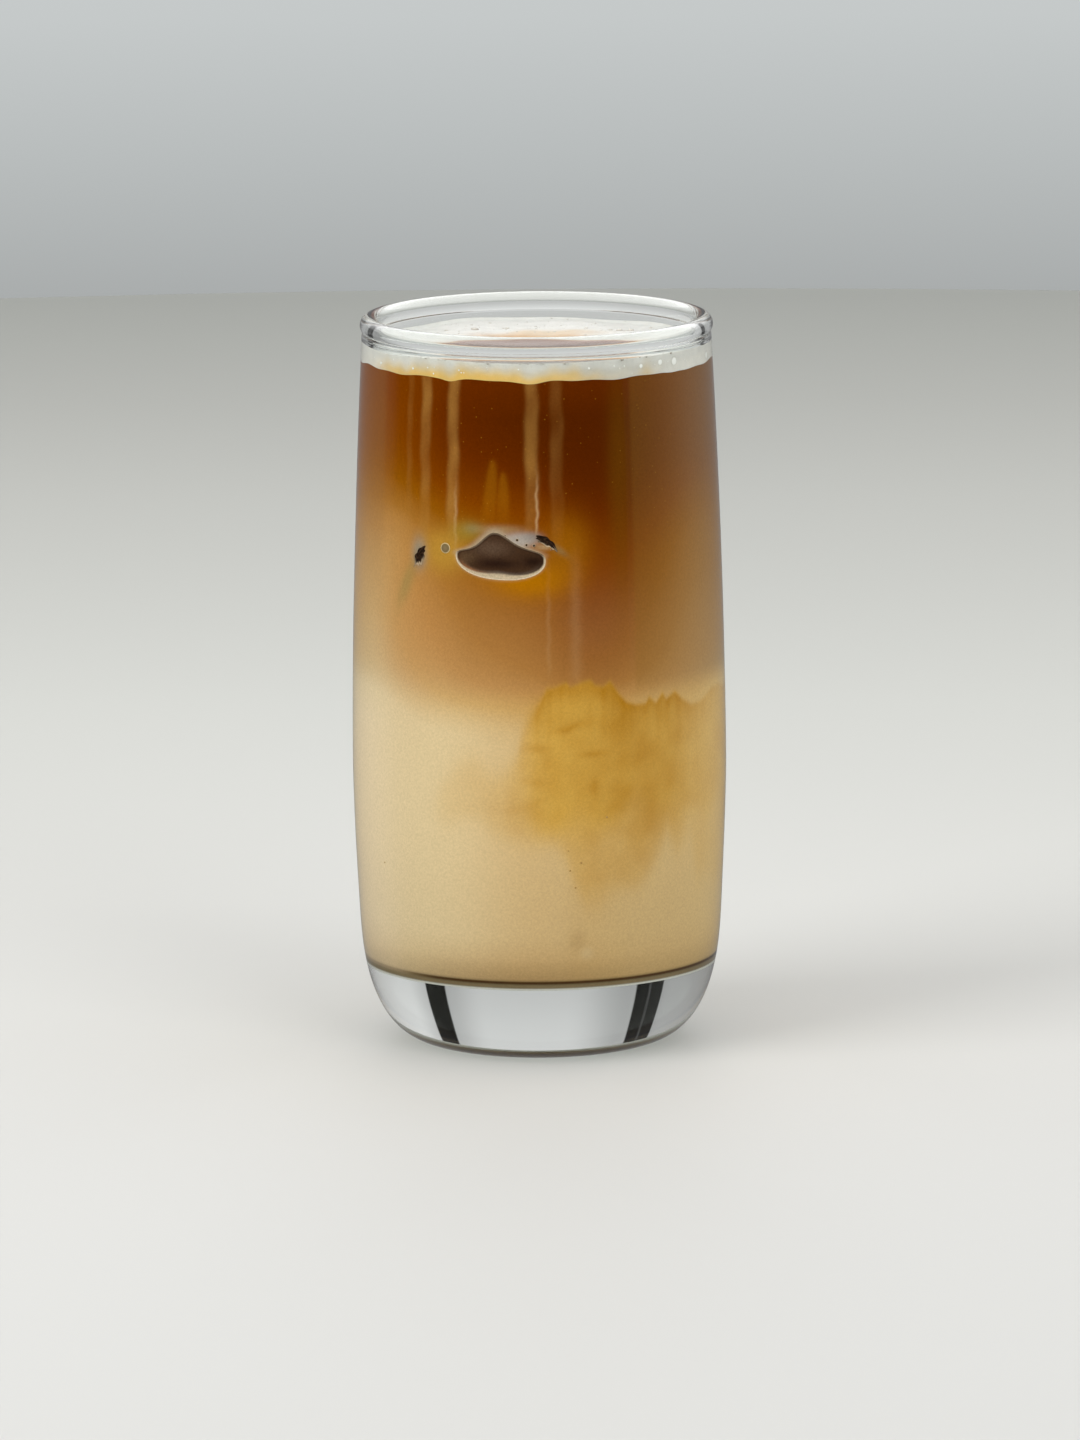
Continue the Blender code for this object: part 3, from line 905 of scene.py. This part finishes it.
def make_foam_ring():
    """Foam: up from the pool's edge, across to the wall, up a small lip, down the wall and back
    underneath, all as one closed ring."""
    turn = 2 * math.pi * (np.arange(COLUMNS) / COLUMNS)
    angle = -math.pi / 2 + turn - 0.35 * np.sin(turn)
    inner = pool_outline(angle)
    rows = []
    reach = wall_reach(angle, inner_radius(FOAM_TOP) + SKIN)
    for share in np.linspace(0, 1, 44):
        x, y = from_pool(angle, inner + (reach - inner) * share)
        rows.append(np.stack([x, y, foam_height(x, y)], -1))
    top_z = rows[-1][:, 2]
    bearing = bearing_of(x, y)
    edge = foam_edge(bearing)
    for share in np.linspace(0.06, 1, 16):
        z = top_z + (edge - top_z) * share
        rows.append(around(bearing, inner_radius(z) + SKIN + 0.05, z))
    reach = wall_reach(angle, inner_radius(FOAM_UNDERSIDE) + SKIN)
    for share in (0.9, 0.5, 0.15, 0.0):
        x, y = from_pool(angle, inner + (reach - inner) * share)
        rows.append(np.stack([x, y, FOAM_UNDERSIDE + (edge - FOAM_UNDERSIDE) * share], -1))
    lattice = np.stack(rows)
    quads = ring_quads(len(rows), COLUMNS, wrap_rows=True)[:, ::-1]
    foam = new_mesh("foam_ring", lattice.reshape(-1, 3), quads)
    write_colours(foam, "froth_colour", froth_colours(lattice).reshape(-1, 3))
    keep_edges(foam, 70)
    ride_as(foam, milk_froth(), "foam", "foam")


def froth_colours(lattice):
    """The foam's colour: white on top and greyer against the wall, where the grey is painted
    shade, lighter at the sides and higher up, with crema run into its lower edge there,
    strongest left of the front, and a tan fringe behind the pool."""
    x, y, z = lattice[..., 0], lattice[..., 1], lattice[..., 2]
    bearing = bearing_of(x, y)
    height = z - foam_edge(bearing)
    ragged = ripples(bearing, z, 37, 10, 60, 0.8)
    fringe = np.exp(-np.maximum(past_pool(x, y), 0) / 1.3) * smooth_step(y, -28, 0)
    at_wall = smooth_step(np.hypot(x, y), inner_radius(z) - 0.3, inner_radius(z))
    sides = sigmoid((bearing - 44) / 7) + sigmoid((-46 - bearing) / 5)
    stained = between(bearing, -62, 19, 4, 5) * (0.85 + 0.15 * bump(bearing, -26, 24))
    stained = stained + 0.3 * bump(bearing, 40, 4) + 0.4 * bump(np.abs(bearing), 150, 30)
    pale = sigmoid((2.2 + 0.35 * ragged - height) / 0.35)
    strong = sigmoid((1.15 + 0.25 * ragged - height) / 0.25)
    return mix(
        np.broadcast_to(linear("dddcd6"), lattice.shape),
        ("b98d5a", 0.85 * fringe),
        ("d2b893", 0.7 * glow(x, y, (2.0, 12.2), (9.5, 3.4), 1.5)),
        # Painted shade: the foam against the wall is greyed, less at the sides and near its top
        ("c2bfb7", at_wall),
        ("f2ede4", at_wall * 0.55 * sides),
        ("d4d2cc", at_wall * 0.6 * smooth_step(height, 1.6, 2.6)),
        ("d8bd84", at_wall * 0.65 * stained * pale),
        ("dcb462", at_wall * stained * strong),
    )


def make_crema_pool():
    """The pool of crema: a shallow dish of rings from its centre out to under the foam's edge."""
    angle = 2 * math.pi * np.arange(240) / 240
    share = np.concatenate([np.linspace(0.06, 1.0, 34), np.linspace(1.0, 0.1, 5)[1:]])
    sunk = np.concatenate([np.zeros(34), np.full(4, POOL_DEPTH)])
    edge = pool_outline(angle)[None, :] + 0.5
    distance = edge * share[:, None]
    x, y = from_pool(angle, distance)
    relief = 0.05 * ripples(bearing_of(x, y), np.hypot(x, y), 31, 8, 6, 0.4)
    lattice = np.stack([x, y, POOL_HEIGHT - sunk[:, None] + relief], -1)
    top, under = [*POOL_CENTRE, POOL_HEIGHT], [*POOL_CENTRE, POOL_HEIGHT - POOL_DEPTH]
    pool = closed_rings("crema_pool", lattice, top, under, flip=True)
    # The foam's fringe, and a painted highlight that pales the pool's back
    fringe = np.exp(-(edge - distance) / 2.2) + 0.2 * bump(y, 4, 5)
    write_values(pool, "foam_fringe_and_highlight", np.append(fringe.ravel(), [0.0, 0.0]))
    ride_as(pool, wet_crema(), "espresso", "coffee")


def pressed_face(across, up, place, rows):
    """Rings on the wall from near a middle out to an outline given across and up in mm."""
    share = np.linspace(0.08, 1.0, rows)[:, None]
    bearing = place[0] + np.degrees(across * share / WALL_NEAR_ICE)
    z = place[1] + up * share
    return around(bearing, inner_radius(z) + PRESSED, z), share


def make_ice_cube(material):
    """The ice cube: its wetted face lies on the wall, then the form opens back into a melted
    cube, whose reach in each direction is that of a superellipsoid of power 4."""
    turn = 2 * math.pi * np.arange(120) / 120
    across, up = patch_outline(turn)
    face, share = pressed_face(across, up, (ICE_BEARING, ICE_HEIGHT), 40)
    body = cube_point(np.linspace(0.30, 0.98, 18)[:, None] * math.pi, turn[None, :])
    opening = smooth_step(np.linspace(0, 1, 18), 0.0, 0.35)[:, None, None]
    body = face[-1] * (1 - opening) + body * opening
    front = around(ICE_BEARING, inner_radius(ICE_HEIGHT) + PRESSED, ICE_HEIGHT)
    back = cube_point(np.array(math.pi), np.array(0.0))
    rings = np.concatenate([face, body])
    cube = closed_rings("ice_cube_melted", rings, front, back, flip=True)
    colours = ice_face_colours(across * share, up * share, share, turn)
    rim = np.broadcast_to(colours[-1], body.shape).reshape(-1, 3)
    ends = [linear("341f13"), linear("8a6c50")]
    write_colours(cube, "ice_colour", np.concatenate([colours.reshape(-1, 3), rim, ends]))
    ride_as(cube, material, "ice", "ice_cube")


# Patches of tone on the wetted face, in millimetres across and up from its middle
ICE_FACE_TONES = (
    ("5c4636", 0.75, (-1.6, 1.9), (3.4, 1.5), 1.2),
    ("5d452f", 0.7, (-6.3, 0.0), (2.0, 1.3), 1.2),
    ("24120a", 0.85, (-0.6, -0.9), (3.8, 0.9), 1.2),
    ("1f0f08", 0.85, (6.2, -0.5), (2.0, 1.0), 1.2),
)


def ice_face_colours(across, up, share, turn):
    """The wetted face's tones: dark coffee, greyer in the hump, darkest low in the middle and at
    the right end, warm along the lower left, and a pale rim that is broad below."""
    down = np.clip(-np.sin(turn), 0, 1)[None, :]
    reach = np.hypot(across[-1], up[-1])[None, :]
    start = 1 - (0.25 + 0.9 * down**1.5) / reach
    rim = smooth_step((share - start) * reach, -0.1 - 0.15 * down, 0.1 + 0.3 * down)
    rim = rim * (0.15 + 0.85 * smooth_step(-np.sin(turn)[None, :], -0.45, 0.1))
    colours = np.broadcast_to(linear("3f2919"), (*across.shape, 3))
    return mix(
        mix_patches(colours, across, up, ICE_FACE_TONES),
        ("64564c", 0.6 * down * bump(share, start - 0.05, 0.07)),
        ("a4683c", 0.7 * bump(turn[None, :], 3.75, 0.5) * bump(share, start, 0.08)),
        ("2e1b10", 0.7 * (1 - down) * bump(share, 0.93, 0.04)),
        ("c0aa8d", rim),
        ("dcc8ac", smooth_step(share, 0.95, 1.0) * (0.3 + 0.5 * down) * rim),
    )


# Name, bearing and height, half length and half width in mm, and lean in degrees
ICE_CHIPS = (
    ("ice_chip_right", (2.9, 97.9), 2.1, 0.7, -33),
    ("ice_chip_left", (-41.5, 94.2), 1.9, 0.95, 66),
)


def make_ice_chips(material):
    """Two slivers of ice that touch the wall beside the cube: bent ellipses with a ragged edge,
    each on a rounded body behind the wall."""
    turn = 2 * math.pi * np.arange(64) / 64
    ragged = 1 + 0.16 * np.sin(3 * turn + 0.6) + 0.10 * np.sin(8 * turn)
    for name, place, long, short, lean in ICE_CHIPS:
        lean = math.radians(lean)
        a = long * ragged * np.cos(turn)
        b = short * ragged * np.sin(turn) - 0.12 * a**2
        across = a * math.cos(lean) - b * math.sin(lean)
        up = a * math.sin(lean) + b * math.cos(lean)
        face, share = pressed_face(across, up, place, 10)
        sink = np.linspace(0.08, 0.96, 10)[:, None] * math.pi / 2
        swell = np.cos(sink) ** 0.5 * 1.1
        bearing = place[0] + np.degrees(across * swell / WALL_NEAR_ICE)
        z = place[1] + up * swell
        body = around(bearing, inner_radius(z) - CHIP_DEPTH * np.sin(sink), z)
        front = around(place[0], inner_radius(place[1]) + PRESSED, place[1])
        back = around(place[0], inner_radius(place[1]) - CHIP_DEPTH - 0.05, place[1])
        chip = closed_rings(name, np.concatenate([face, body]), front, back, flip=True)
        lower = np.clip(-np.sin(turn + lean), 0, 1)[None, :]
        rim = 0.9 * smooth_step(share, 0.62, 0.9) * lower
        cloudy = 0.5 * bump(np.sin(5 * turn[None, :] + 7 * share), 1, 0.5)
        tones = np.broadcast_to(linear("1f120b"), face.shape)
        tones = mix(tones, ("4a3424", cloudy), ("cbb090", rim)).reshape(-1, 3)
        hidden = np.broadcast_to(linear("4a3424"), (body[..., 0].size + 2, 3))
        write_colours(chip, "ice_colour", np.concatenate([tones, hidden]))
        ride_as(chip, material, "ice")


def cube_point(polar, turn):
    """A point of the melted cube in the direction that is polar from the wall and turned about
    that line: half the cube's size over the power mean of the direction's parts."""
    outward = np.cos(polar) + 0 * turn
    right = np.sin(polar) * np.cos(turn)
    rise = np.sin(polar) * np.sin(turn)
    tilt = math.radians(45)
    a = outward * math.cos(tilt) + rise * math.sin(tilt)
    b = rise * math.cos(tilt) - outward * math.sin(tilt)
    reach = ICE_SIZE / 2 / (np.abs(a) ** 4 + np.abs(b) ** 4 + np.abs(right) ** 4) ** 0.25
    heading = math.radians(ICE_BEARING)
    depth = inner_radius(ICE_HEIGHT) - CUBE_DEPTH + reach * outward
    x = depth * math.sin(heading) + reach * right * math.cos(heading)
    y = reach * right * math.sin(heading) - depth * math.cos(heading)
    return np.stack([x, y, ICE_HEIGHT + reach * rise], -1)


def bubble_shells(name, centres, normals, radii, flatness, material, slot):
    """Many small closed bubbles in one mesh: each a sphere lattice about its centre, pressed flat
    along its own normal; 8 rings of 14 keep them light."""
    rows, cols = 8, 14
    polar = np.linspace(0.07, 0.93, rows)[:, None] * math.pi
    turn = 2 * math.pi * np.arange(cols)[None, :] / cols
    parts = [np.sin(polar) * np.cos(turn), np.sin(polar) * np.sin(turn), np.cos(polar) + 0 * turn]
    local = np.concatenate([np.stack(parts, -1).reshape(-1, 3), [[0, 0, 1], [0, 0, -1]]])
    helper = np.where(np.abs(normals[:, 2:]) > 0.9, [[1.0, 0, 0]], [[0, 0, 1.0]])
    side = np.cross(helper, normals)
    side /= np.linalg.norm(side, axis=1)[:, None]
    other = np.cross(normals, side)
    axes = np.stack([side, other, normals * flatness], 1) * radii[:, None, None]
    points = centres[:, None, :] + np.einsum("kj,njc->nkc", local, axes)
    shift = (np.arange(len(centres)) * len(local))[:, None, None]
    quads, triangles = [faces[None, :, ::-1] + shift for faces in solid_faces(rows, cols)]
    obj = new_mesh(name, points.reshape(-1, 3), quads.reshape(-1, 4), triangles.reshape(-1, 3))
    rim = np.sqrt(np.clip(1 - local[:, 2] ** 2, 0, 1))
    write_values(obj, "film_edge", np.tile(rim, len(centres)))
    ride_as(obj, material, slot)


# Bubbles on the foam's top: x, y and radius
FOAM_TOP_BUBBLES = (
    (-11.4, 16.7, 0.80), (-5.4, 19.0, 0.45), (-18.9, 11.8, 0.60), (-16.7, 17.0, 0.40),
    (9.2, 16.9, 0.40), (13.7, 15.3, 0.45), (15.3, 14.3, 0.70), (17.5, 14.2, 0.65),
)
# Bubbles and specks on the wall: bearing, height and radius
FOAM_WALL_BUBBLES = (
    (37.3, 128.75, 0.45), (45.8, 129.02, 0.62), (52.8, 128.77, 0.85), (76.6, 128.15, 0.75),
    (26.8, 129.2, 0.20), (30.6, 129.05, 0.18), (17.7, 129.1, 0.25), (-63.9, 128.1, 0.30),
    (-45.8, 128.2, 0.25),
)
DRINK_BUBBLES = (
    (-6.7, 98.20, 0.27), (-3.7, 97.30, 0.27), (-1.3, 97.21, 0.29), (-10.6, 98.95, 0.14),
    (0.2, 98.0, 0.13), (4.2, 96.4, 0.12), (-43.6, 92.2, 0.14),
)
LARGE_BUBBLE = ((-31.2, 96.13, 1.0),)
MILK_SPECKS = (
    (21.7, 46.8, 0.20), (13.2, 38.6, 0.20), (9.6, 37.2, 0.16), (11.4, 34.0, 0.16),
    (9.0, 40.9, 0.12), (-60.0, 36.0, 0.14),
)
# The fine bubbles' numbers, and how far from the axis those on the top reach
FINE_ON_TOP = 420
FINE_ON_WALL = 90
FINE_REACH = 31.0
# A film's colours from its middle to its edge; the shaded film's grey edge is painted shade
# round each bubble on the foam's top
WHITE_FILM = ((0.0, "f4f3ee"), (0.7, "efede7"), (1.0, "b5b0a5"))
SHADED_FILM = ((0.0, "dcd9d1"), (0.6, "cdc8be"), (0.92, "a49d91"), (1.0, "8f887c"))
DARK_FILM = ((0.0, "2c1a0e"), (0.6, "3a2516"), (0.95, "cdb596"))
OLIVE_FILM = ((0.0, "867150"), (0.70, "74603f"), (0.80, "8f7a50"), (0.88, "cdb384"))
SPECK_FILM = ((0.0, "96703a"), (1.0, "b99558"))
# Piece, its places and radii, its material, film and roughness, and its slot
PRESSED_PIECES = (
    ("drink_bubbles", DRINK_BUBBLES, "dark_air_bubble", DARK_FILM, 0.3, "espresso"),
    ("drink_bubble_large", LARGE_BUBBLE, "olive_air_bubble", OLIVE_FILM, 0.3, "espresso"),
    ("milk_specks", MILK_SPECKS, "coffee_speck", SPECK_FILM, 0.6, "milk"),
)


def make_bubbles():
    """Bubbles where the photograph shows them, and a seeded scatter of fine ones on the foam."""
    draw = np.random.default_rng(4)
    known = np.array(FOAM_TOP_BUBBLES)
    heading = draw.uniform(0, 2 * math.pi, FINE_ON_TOP)
    share = draw.uniform(0.06, 0.97, FINE_ON_TOP)
    reach = pool_outline(heading) * (1 - share) + share * wall_reach(heading, FINE_REACH)
    x, y = np.concatenate([known[:, :2].T, from_pool(heading, reach)], 1)
    radii = np.concatenate([known[:, 2], 0.10 + 0.22 * draw.random(FINE_ON_TOP) ** 3])
    centres = np.stack([x, y, foam_height(x, y) - 0.25 * radii], -1)
    up = np.tile([[0.0, 0.0, 1.0]], (len(radii), 1))
    film = bubble_skin("froth_bubble_film", SHADED_FILM, 0.15)
    bubble_shells("foam_top_bubbles", centres, up, radii, 0.75, film, "foam")
    known = np.array(FOAM_WALL_BUBBLES)
    bearing = np.concatenate([known[:, 0], draw.uniform(-180, 180, FINE_ON_WALL)])
    z = np.concatenate([known[:, 1], draw.uniform(127.6, 129.6, FINE_ON_WALL)])
    radii = np.concatenate([known[:, 2], 0.07 + 0.10 * draw.random(FINE_ON_WALL)])
    film = bubble_skin("pressed_bubble_film", WHITE_FILM, 0.3)
    pressed_bubbles("foam_wall_bubbles", bearing, z, radii, film, "foam")
    for name, places, skin, stops, roughness, slot in PRESSED_PIECES:
        film = bubble_skin(skin, stops, roughness)
        pressed_bubbles(name, *np.array(places).T, film, slot)


def pressed_bubbles(name, bearing, z, radii, material, slot):
    """Bubbles flattened against the inside of the wall, facing out along their bearing."""
    centres = around(bearing, inner_radius(z) + SKIN + 0.04, z)
    outward = around(bearing, 1.0, 0.0)
    flatness = np.minimum(0.12 / radii, 0.9)[:, None]
    bubble_shells(name, centres, outward, radii, flatness, material, slot)


# Stage, light and camera

# The floor's greys from the front edge to the back one
FLOOR_GREYS = (
    (0.0, "c9c9c6"), (0.19, "d1d1ce"), (0.33, "d5d5d1"), (0.50, "cccdc8"),
    (0.60, "c3c4bf"), (0.72, "b8b9b4"), (0.85, "a7a8a3"), (1.0, "939590"),
)
# The backdrop's greys from just above the floor's far edge upwards
BACKDROP_GREYS = ((0.0, "a6a9a9"), (0.4, "b9bdbd"), (0.7, "c5c9c9"), (1.0, "c9cdcd"))
# Soft boxes as gloss on the glass shows them: azimuth from the camera's side, growing to the
# right, and elevation, in degrees; then how soft the edge is, and the levels at its two sides
GLOSS_PANELS = (
    (-185, 185, 12, 95, 7, 1.35, 1.35),
    (-185, 185, 20, 95, 6, 3.2, 3.2),
    (58, 184, -60, 14, 0.8, 0.05, 0.28),
    (-184, -104, -60, 14, 6, 0.3, 0.1),
)
# Bands of the surround as they are seen through the glass: azimuths, edge softness and gain
CLEAR_BANDS = (
    (60, 149.2, 0.4, 1.13),
    (146, 161.5, 5.5, 0.72),
    (149.2, 156.1, 0.35, 0.01),
    (-166, -150, 8.5, 0.62),
    (-156.3, -146.3, 0.35, 0.01),
    (-151.9, -151.1, 0.3, 12.0),
    (-146.3, -60, 0.4, 0.62),
)
# Name, azimuth, elevation, distance in metres, size in metres and power in watts
LIGHTS = (("key", -58, 30, 1.5, 0.9, 13.0), ("fill", 35, 22, 1.6, 0.9, 9.0))
# The camera's place in metres, and its pitch and roll in degrees
CAMERA_PLACE = (0, -1.81784, 0.38877)
CAMERA_PITCH = 10.273
CAMERA_ROLL = -0.426


def make_floor():
    """A plain pale floor, round, whose greys fall off towards the back."""
    cols = 128
    angle = 2 * math.pi * np.arange(cols) / cols
    radius = np.array([20.0, 200.0, 600.0, 1020.0])[:, None]
    rings = [radius * np.cos(angle), radius * np.sin(angle), np.full((4, cols), -0.2)]
    points = np.concatenate([np.stack(rings, -1).reshape(-1, 3), [[0, 0, -0.2]]])
    quads = ring_quads(4, cols)[:, ::-1]
    floor = new_mesh("floor", points, quads, fan(0, 4 * cols, cols, True))
    material, tree = new_material("matt_floor")
    place = add_node(tree, "TexCoord").outputs["Object"]
    depth = add_node(tree, "SeparateXYZ", links={0: place}).outputs["Y"]
    away = add_node(tree, "MapRange", {"From Min": -0.3, "From Max": 1.0}, {"Value": depth})
    colour = add_node(tree, "ValToRGB", links={"Fac": away})
    set_stops(colour, FLOOR_GREYS)
    matt = {"Roughness": 0.6, "Specular IOR Level": 0.1}
    skin = add_node(tree, "BsdfPrincipled", matt, {"Base Color": colour})
    add_node(tree, "OutputMaterial", links={"Surface": skin})
    floor.data.materials.append(material)
    floor.visible_glossy = False


def panel(tree, azimuth, elevation, left, right, low, high, soft):
    """A soft-edged window of sky: 1 between two azimuths and two elevations, 0 outside."""
    product = None
    for source, start, near, far in (
        (azimuth, left, 0.0, 1.0),
        (azimuth, right, 1.0, 0.0),
        (elevation, low, 0.0, 1.0),
        (elevation, high, 1.0, 0.0),
    ):
        limits = {"From Min": start - soft, "From Max": start + soft, "To Min": near, "To Max": far}
        limits["interpolation_type"] = "SMOOTHSTEP"
        edge = add_node(tree, "MapRange", limits, {"Value": source})
        if product is None:
            product = edge
        else:
            product = add_node(tree, "Math", {"operation": "MULTIPLY"}, {0: product, 1: edge})
    return product


def direction_angles(tree):
    """The azimuth and elevation in degrees of the direction that a ray leaves in."""
    direction = add_node(tree, "TexCoord").outputs["Generated"]
    parts = add_node(tree, "SeparateXYZ", links={0: direction}).outputs
    toward = add_node(tree, "Math", {"operation": "MULTIPLY", 1: -1.0}, {0: parts["Y"]})
    turn = add_node(tree, "Math", {"operation": "ARCTAN2"}, {0: parts["X"], 1: toward})
    rise = add_node(tree, "Math", {"operation": "ARCSINE"}, {0: parts["Z"]})
    return [add_node(tree, "Math", {"operation": "DEGREES"}, {0: angle}) for angle in (turn, rise)]


def gloss_level(tree, azimuth, elevation):
    """The brightest of the soft boxes in a direction, each rising evenly from side to side."""
    total = None
    for left, right, low, high, soft, level_left, level_right in GLOSS_PANELS:
        window = panel(tree, azimuth, elevation, left, right, low, high, soft)
        limits = {"From Min": left, "From Max": right, "To Min": level_left, "To Max": level_right}
        level = add_node(tree, "MapRange", limits, {"Value": azimuth})
        lit = add_node(tree, "Math", {"operation": "MULTIPLY"}, {0: window, 1: level})
        if total is not None:
            lit = add_node(tree, "Math", {"operation": "MAXIMUM"}, {0: lit, 1: total})
        total = lit
    return total


def clear_level(tree, azimuth, elevation):
    """What the glass lets through: a pale surround that is brighter above and to the right, less
    so to the left, with two dark gaps beside the backdrop."""
    near = {"From Min": 0.0, "From Max": 14.0, "To Min": 0.55, "To Max": 0.67}
    above = {"From Min": 14.0, "From Max": 50.0, "To Min": 0.0, "To Max": 0.2}
    low, high = [add_node(tree, "MapRange", part, {"Value": elevation}) for part in (near, above)]
    level = add_node(tree, "Math", {"operation": "ADD"}, {0: low, 1: high})
    for left, right, soft, gain in CLEAR_BANDS:
        window = panel(tree, azimuth, elevation, left, right, -30, 70, soft)
        share = {"operation": "MULTIPLY_ADD", 1: gain - 1.0, 2: 1.0}
        kept = add_node(tree, "Math", share, {0: window})
        level = add_node(tree, "Math", {"operation": "MULTIPLY"}, {0: level, 1: kept})
    return level


def make_world():
    """A studio as a function of direction: a pale surround through the glass, soft boxes in its
    gloss, and for the camera itself a plain pale backdrop."""
    world = bpy.data.worlds.new("studio")
    world.use_nodes = True
    bpy.context.scene.world = world
    tree = world.node_tree
    tree.nodes.clear()
    azimuth, elevation = direction_angles(tree)
    path = add_node(tree, "LightPath").outputs
    rise = add_node(tree, "MapRange", {"From Min": -8.0, "From Max": -5.5}, {"Value": elevation})
    backdrop = add_node(tree, "ValToRGB", links={"Fac": rise})
    set_stops(backdrop, BACKDROP_GREYS)
    through = clear_level(tree, azimuth, elevation)
    gloss = gloss_level(tree, azimuth, elevation)
    surround, boxes, seen = [
        add_node(tree, "Background", {"Strength": 1.0}, {"Color": colour})
        for colour in (through, gloss, backdrop)
    ]
    # A ray that has come through the glass counts as glossy too, so it is told apart after that
    shown = surround
    for kind, shader in (
        ("Is Glossy Ray", boxes),
        ("Is Transmission Ray", surround),
        ("Is Camera Ray", seen),
    ):
        shown = add_node(tree, "MixShader", links={0: path[kind], 1: shown, 2: shader})
    add_node(tree, "OutputWorld", links={"Surface": shown})


def make_lights():
    """A large soft key from the front left and a weaker fill from the front right, neither seen
    in the glass."""
    aim = Vector((0, 0, 0.07))
    for name, azimuth, elevation, distance, size, power in LIGHTS:
        a, e = math.radians(azimuth), math.radians(elevation)
        out = Vector((math.sin(a) * math.cos(e), -math.cos(a) * math.cos(e), math.sin(e)))
        data = bpy.data.lights.new(name, "AREA")
        data.size = size
        data.energy = power
        lamp = bpy.data.objects.new(name, data)
        lamp.location = aim + out * distance
        lamp.rotation_mode = "QUATERNION"
        lamp.rotation_quaternion = out.to_track_quat("Z", "Y")
        lamp.visible_camera = False
        lamp.visible_glossy = False
        lamp.visible_transmission = False
        bpy.context.scene.collection.objects.link(lamp)


def make_camera():
    """The photograph's long lens, pitched about 10 degrees down and rolled a little."""
    data = bpy.data.cameras.new("camera")
    data.lens = 250
    data.sensor_width = 36
    data.shift_x = 0.73 / 1440
    data.clip_start = 0.05
    data.clip_end = 50
    camera = bpy.data.objects.new("camera", data)
    bpy.context.scene.collection.objects.link(camera)
    pitch, roll = math.radians(CAMERA_PITCH), math.radians(CAMERA_ROLL)
    ahead = Vector((0, math.cos(pitch), -math.sin(pitch)))
    upright = Vector((0, math.sin(pitch), math.cos(pitch)))
    right = Vector((1, 0, 0))
    turned_right = right * math.cos(roll) + upright * math.sin(roll)
    turned_up = -right * math.sin(roll) + upright * math.cos(roll)
    camera.matrix_world = Matrix.Translation(CAMERA_PLACE) @ Matrix(
        (turned_right, turned_up, -ahead)
    ).transposed().to_4x4()
    bpy.context.scene.camera = camera


def main():
    bpy.context.scene.view_settings.view_transform = "Standard"
    make_camera()
    make_world()
    make_lights()
    make_floor()
    coffee = milky_coffee()
    make_tumbler()
    make_milk_layer(coffee)
    make_espresso_layer(coffee)
    make_foam_ring()
    make_crema_pool()
    ice = wet_ice()
    make_ice_cube(ice)
    make_ice_chips(ice)
    make_bubbles()


main()
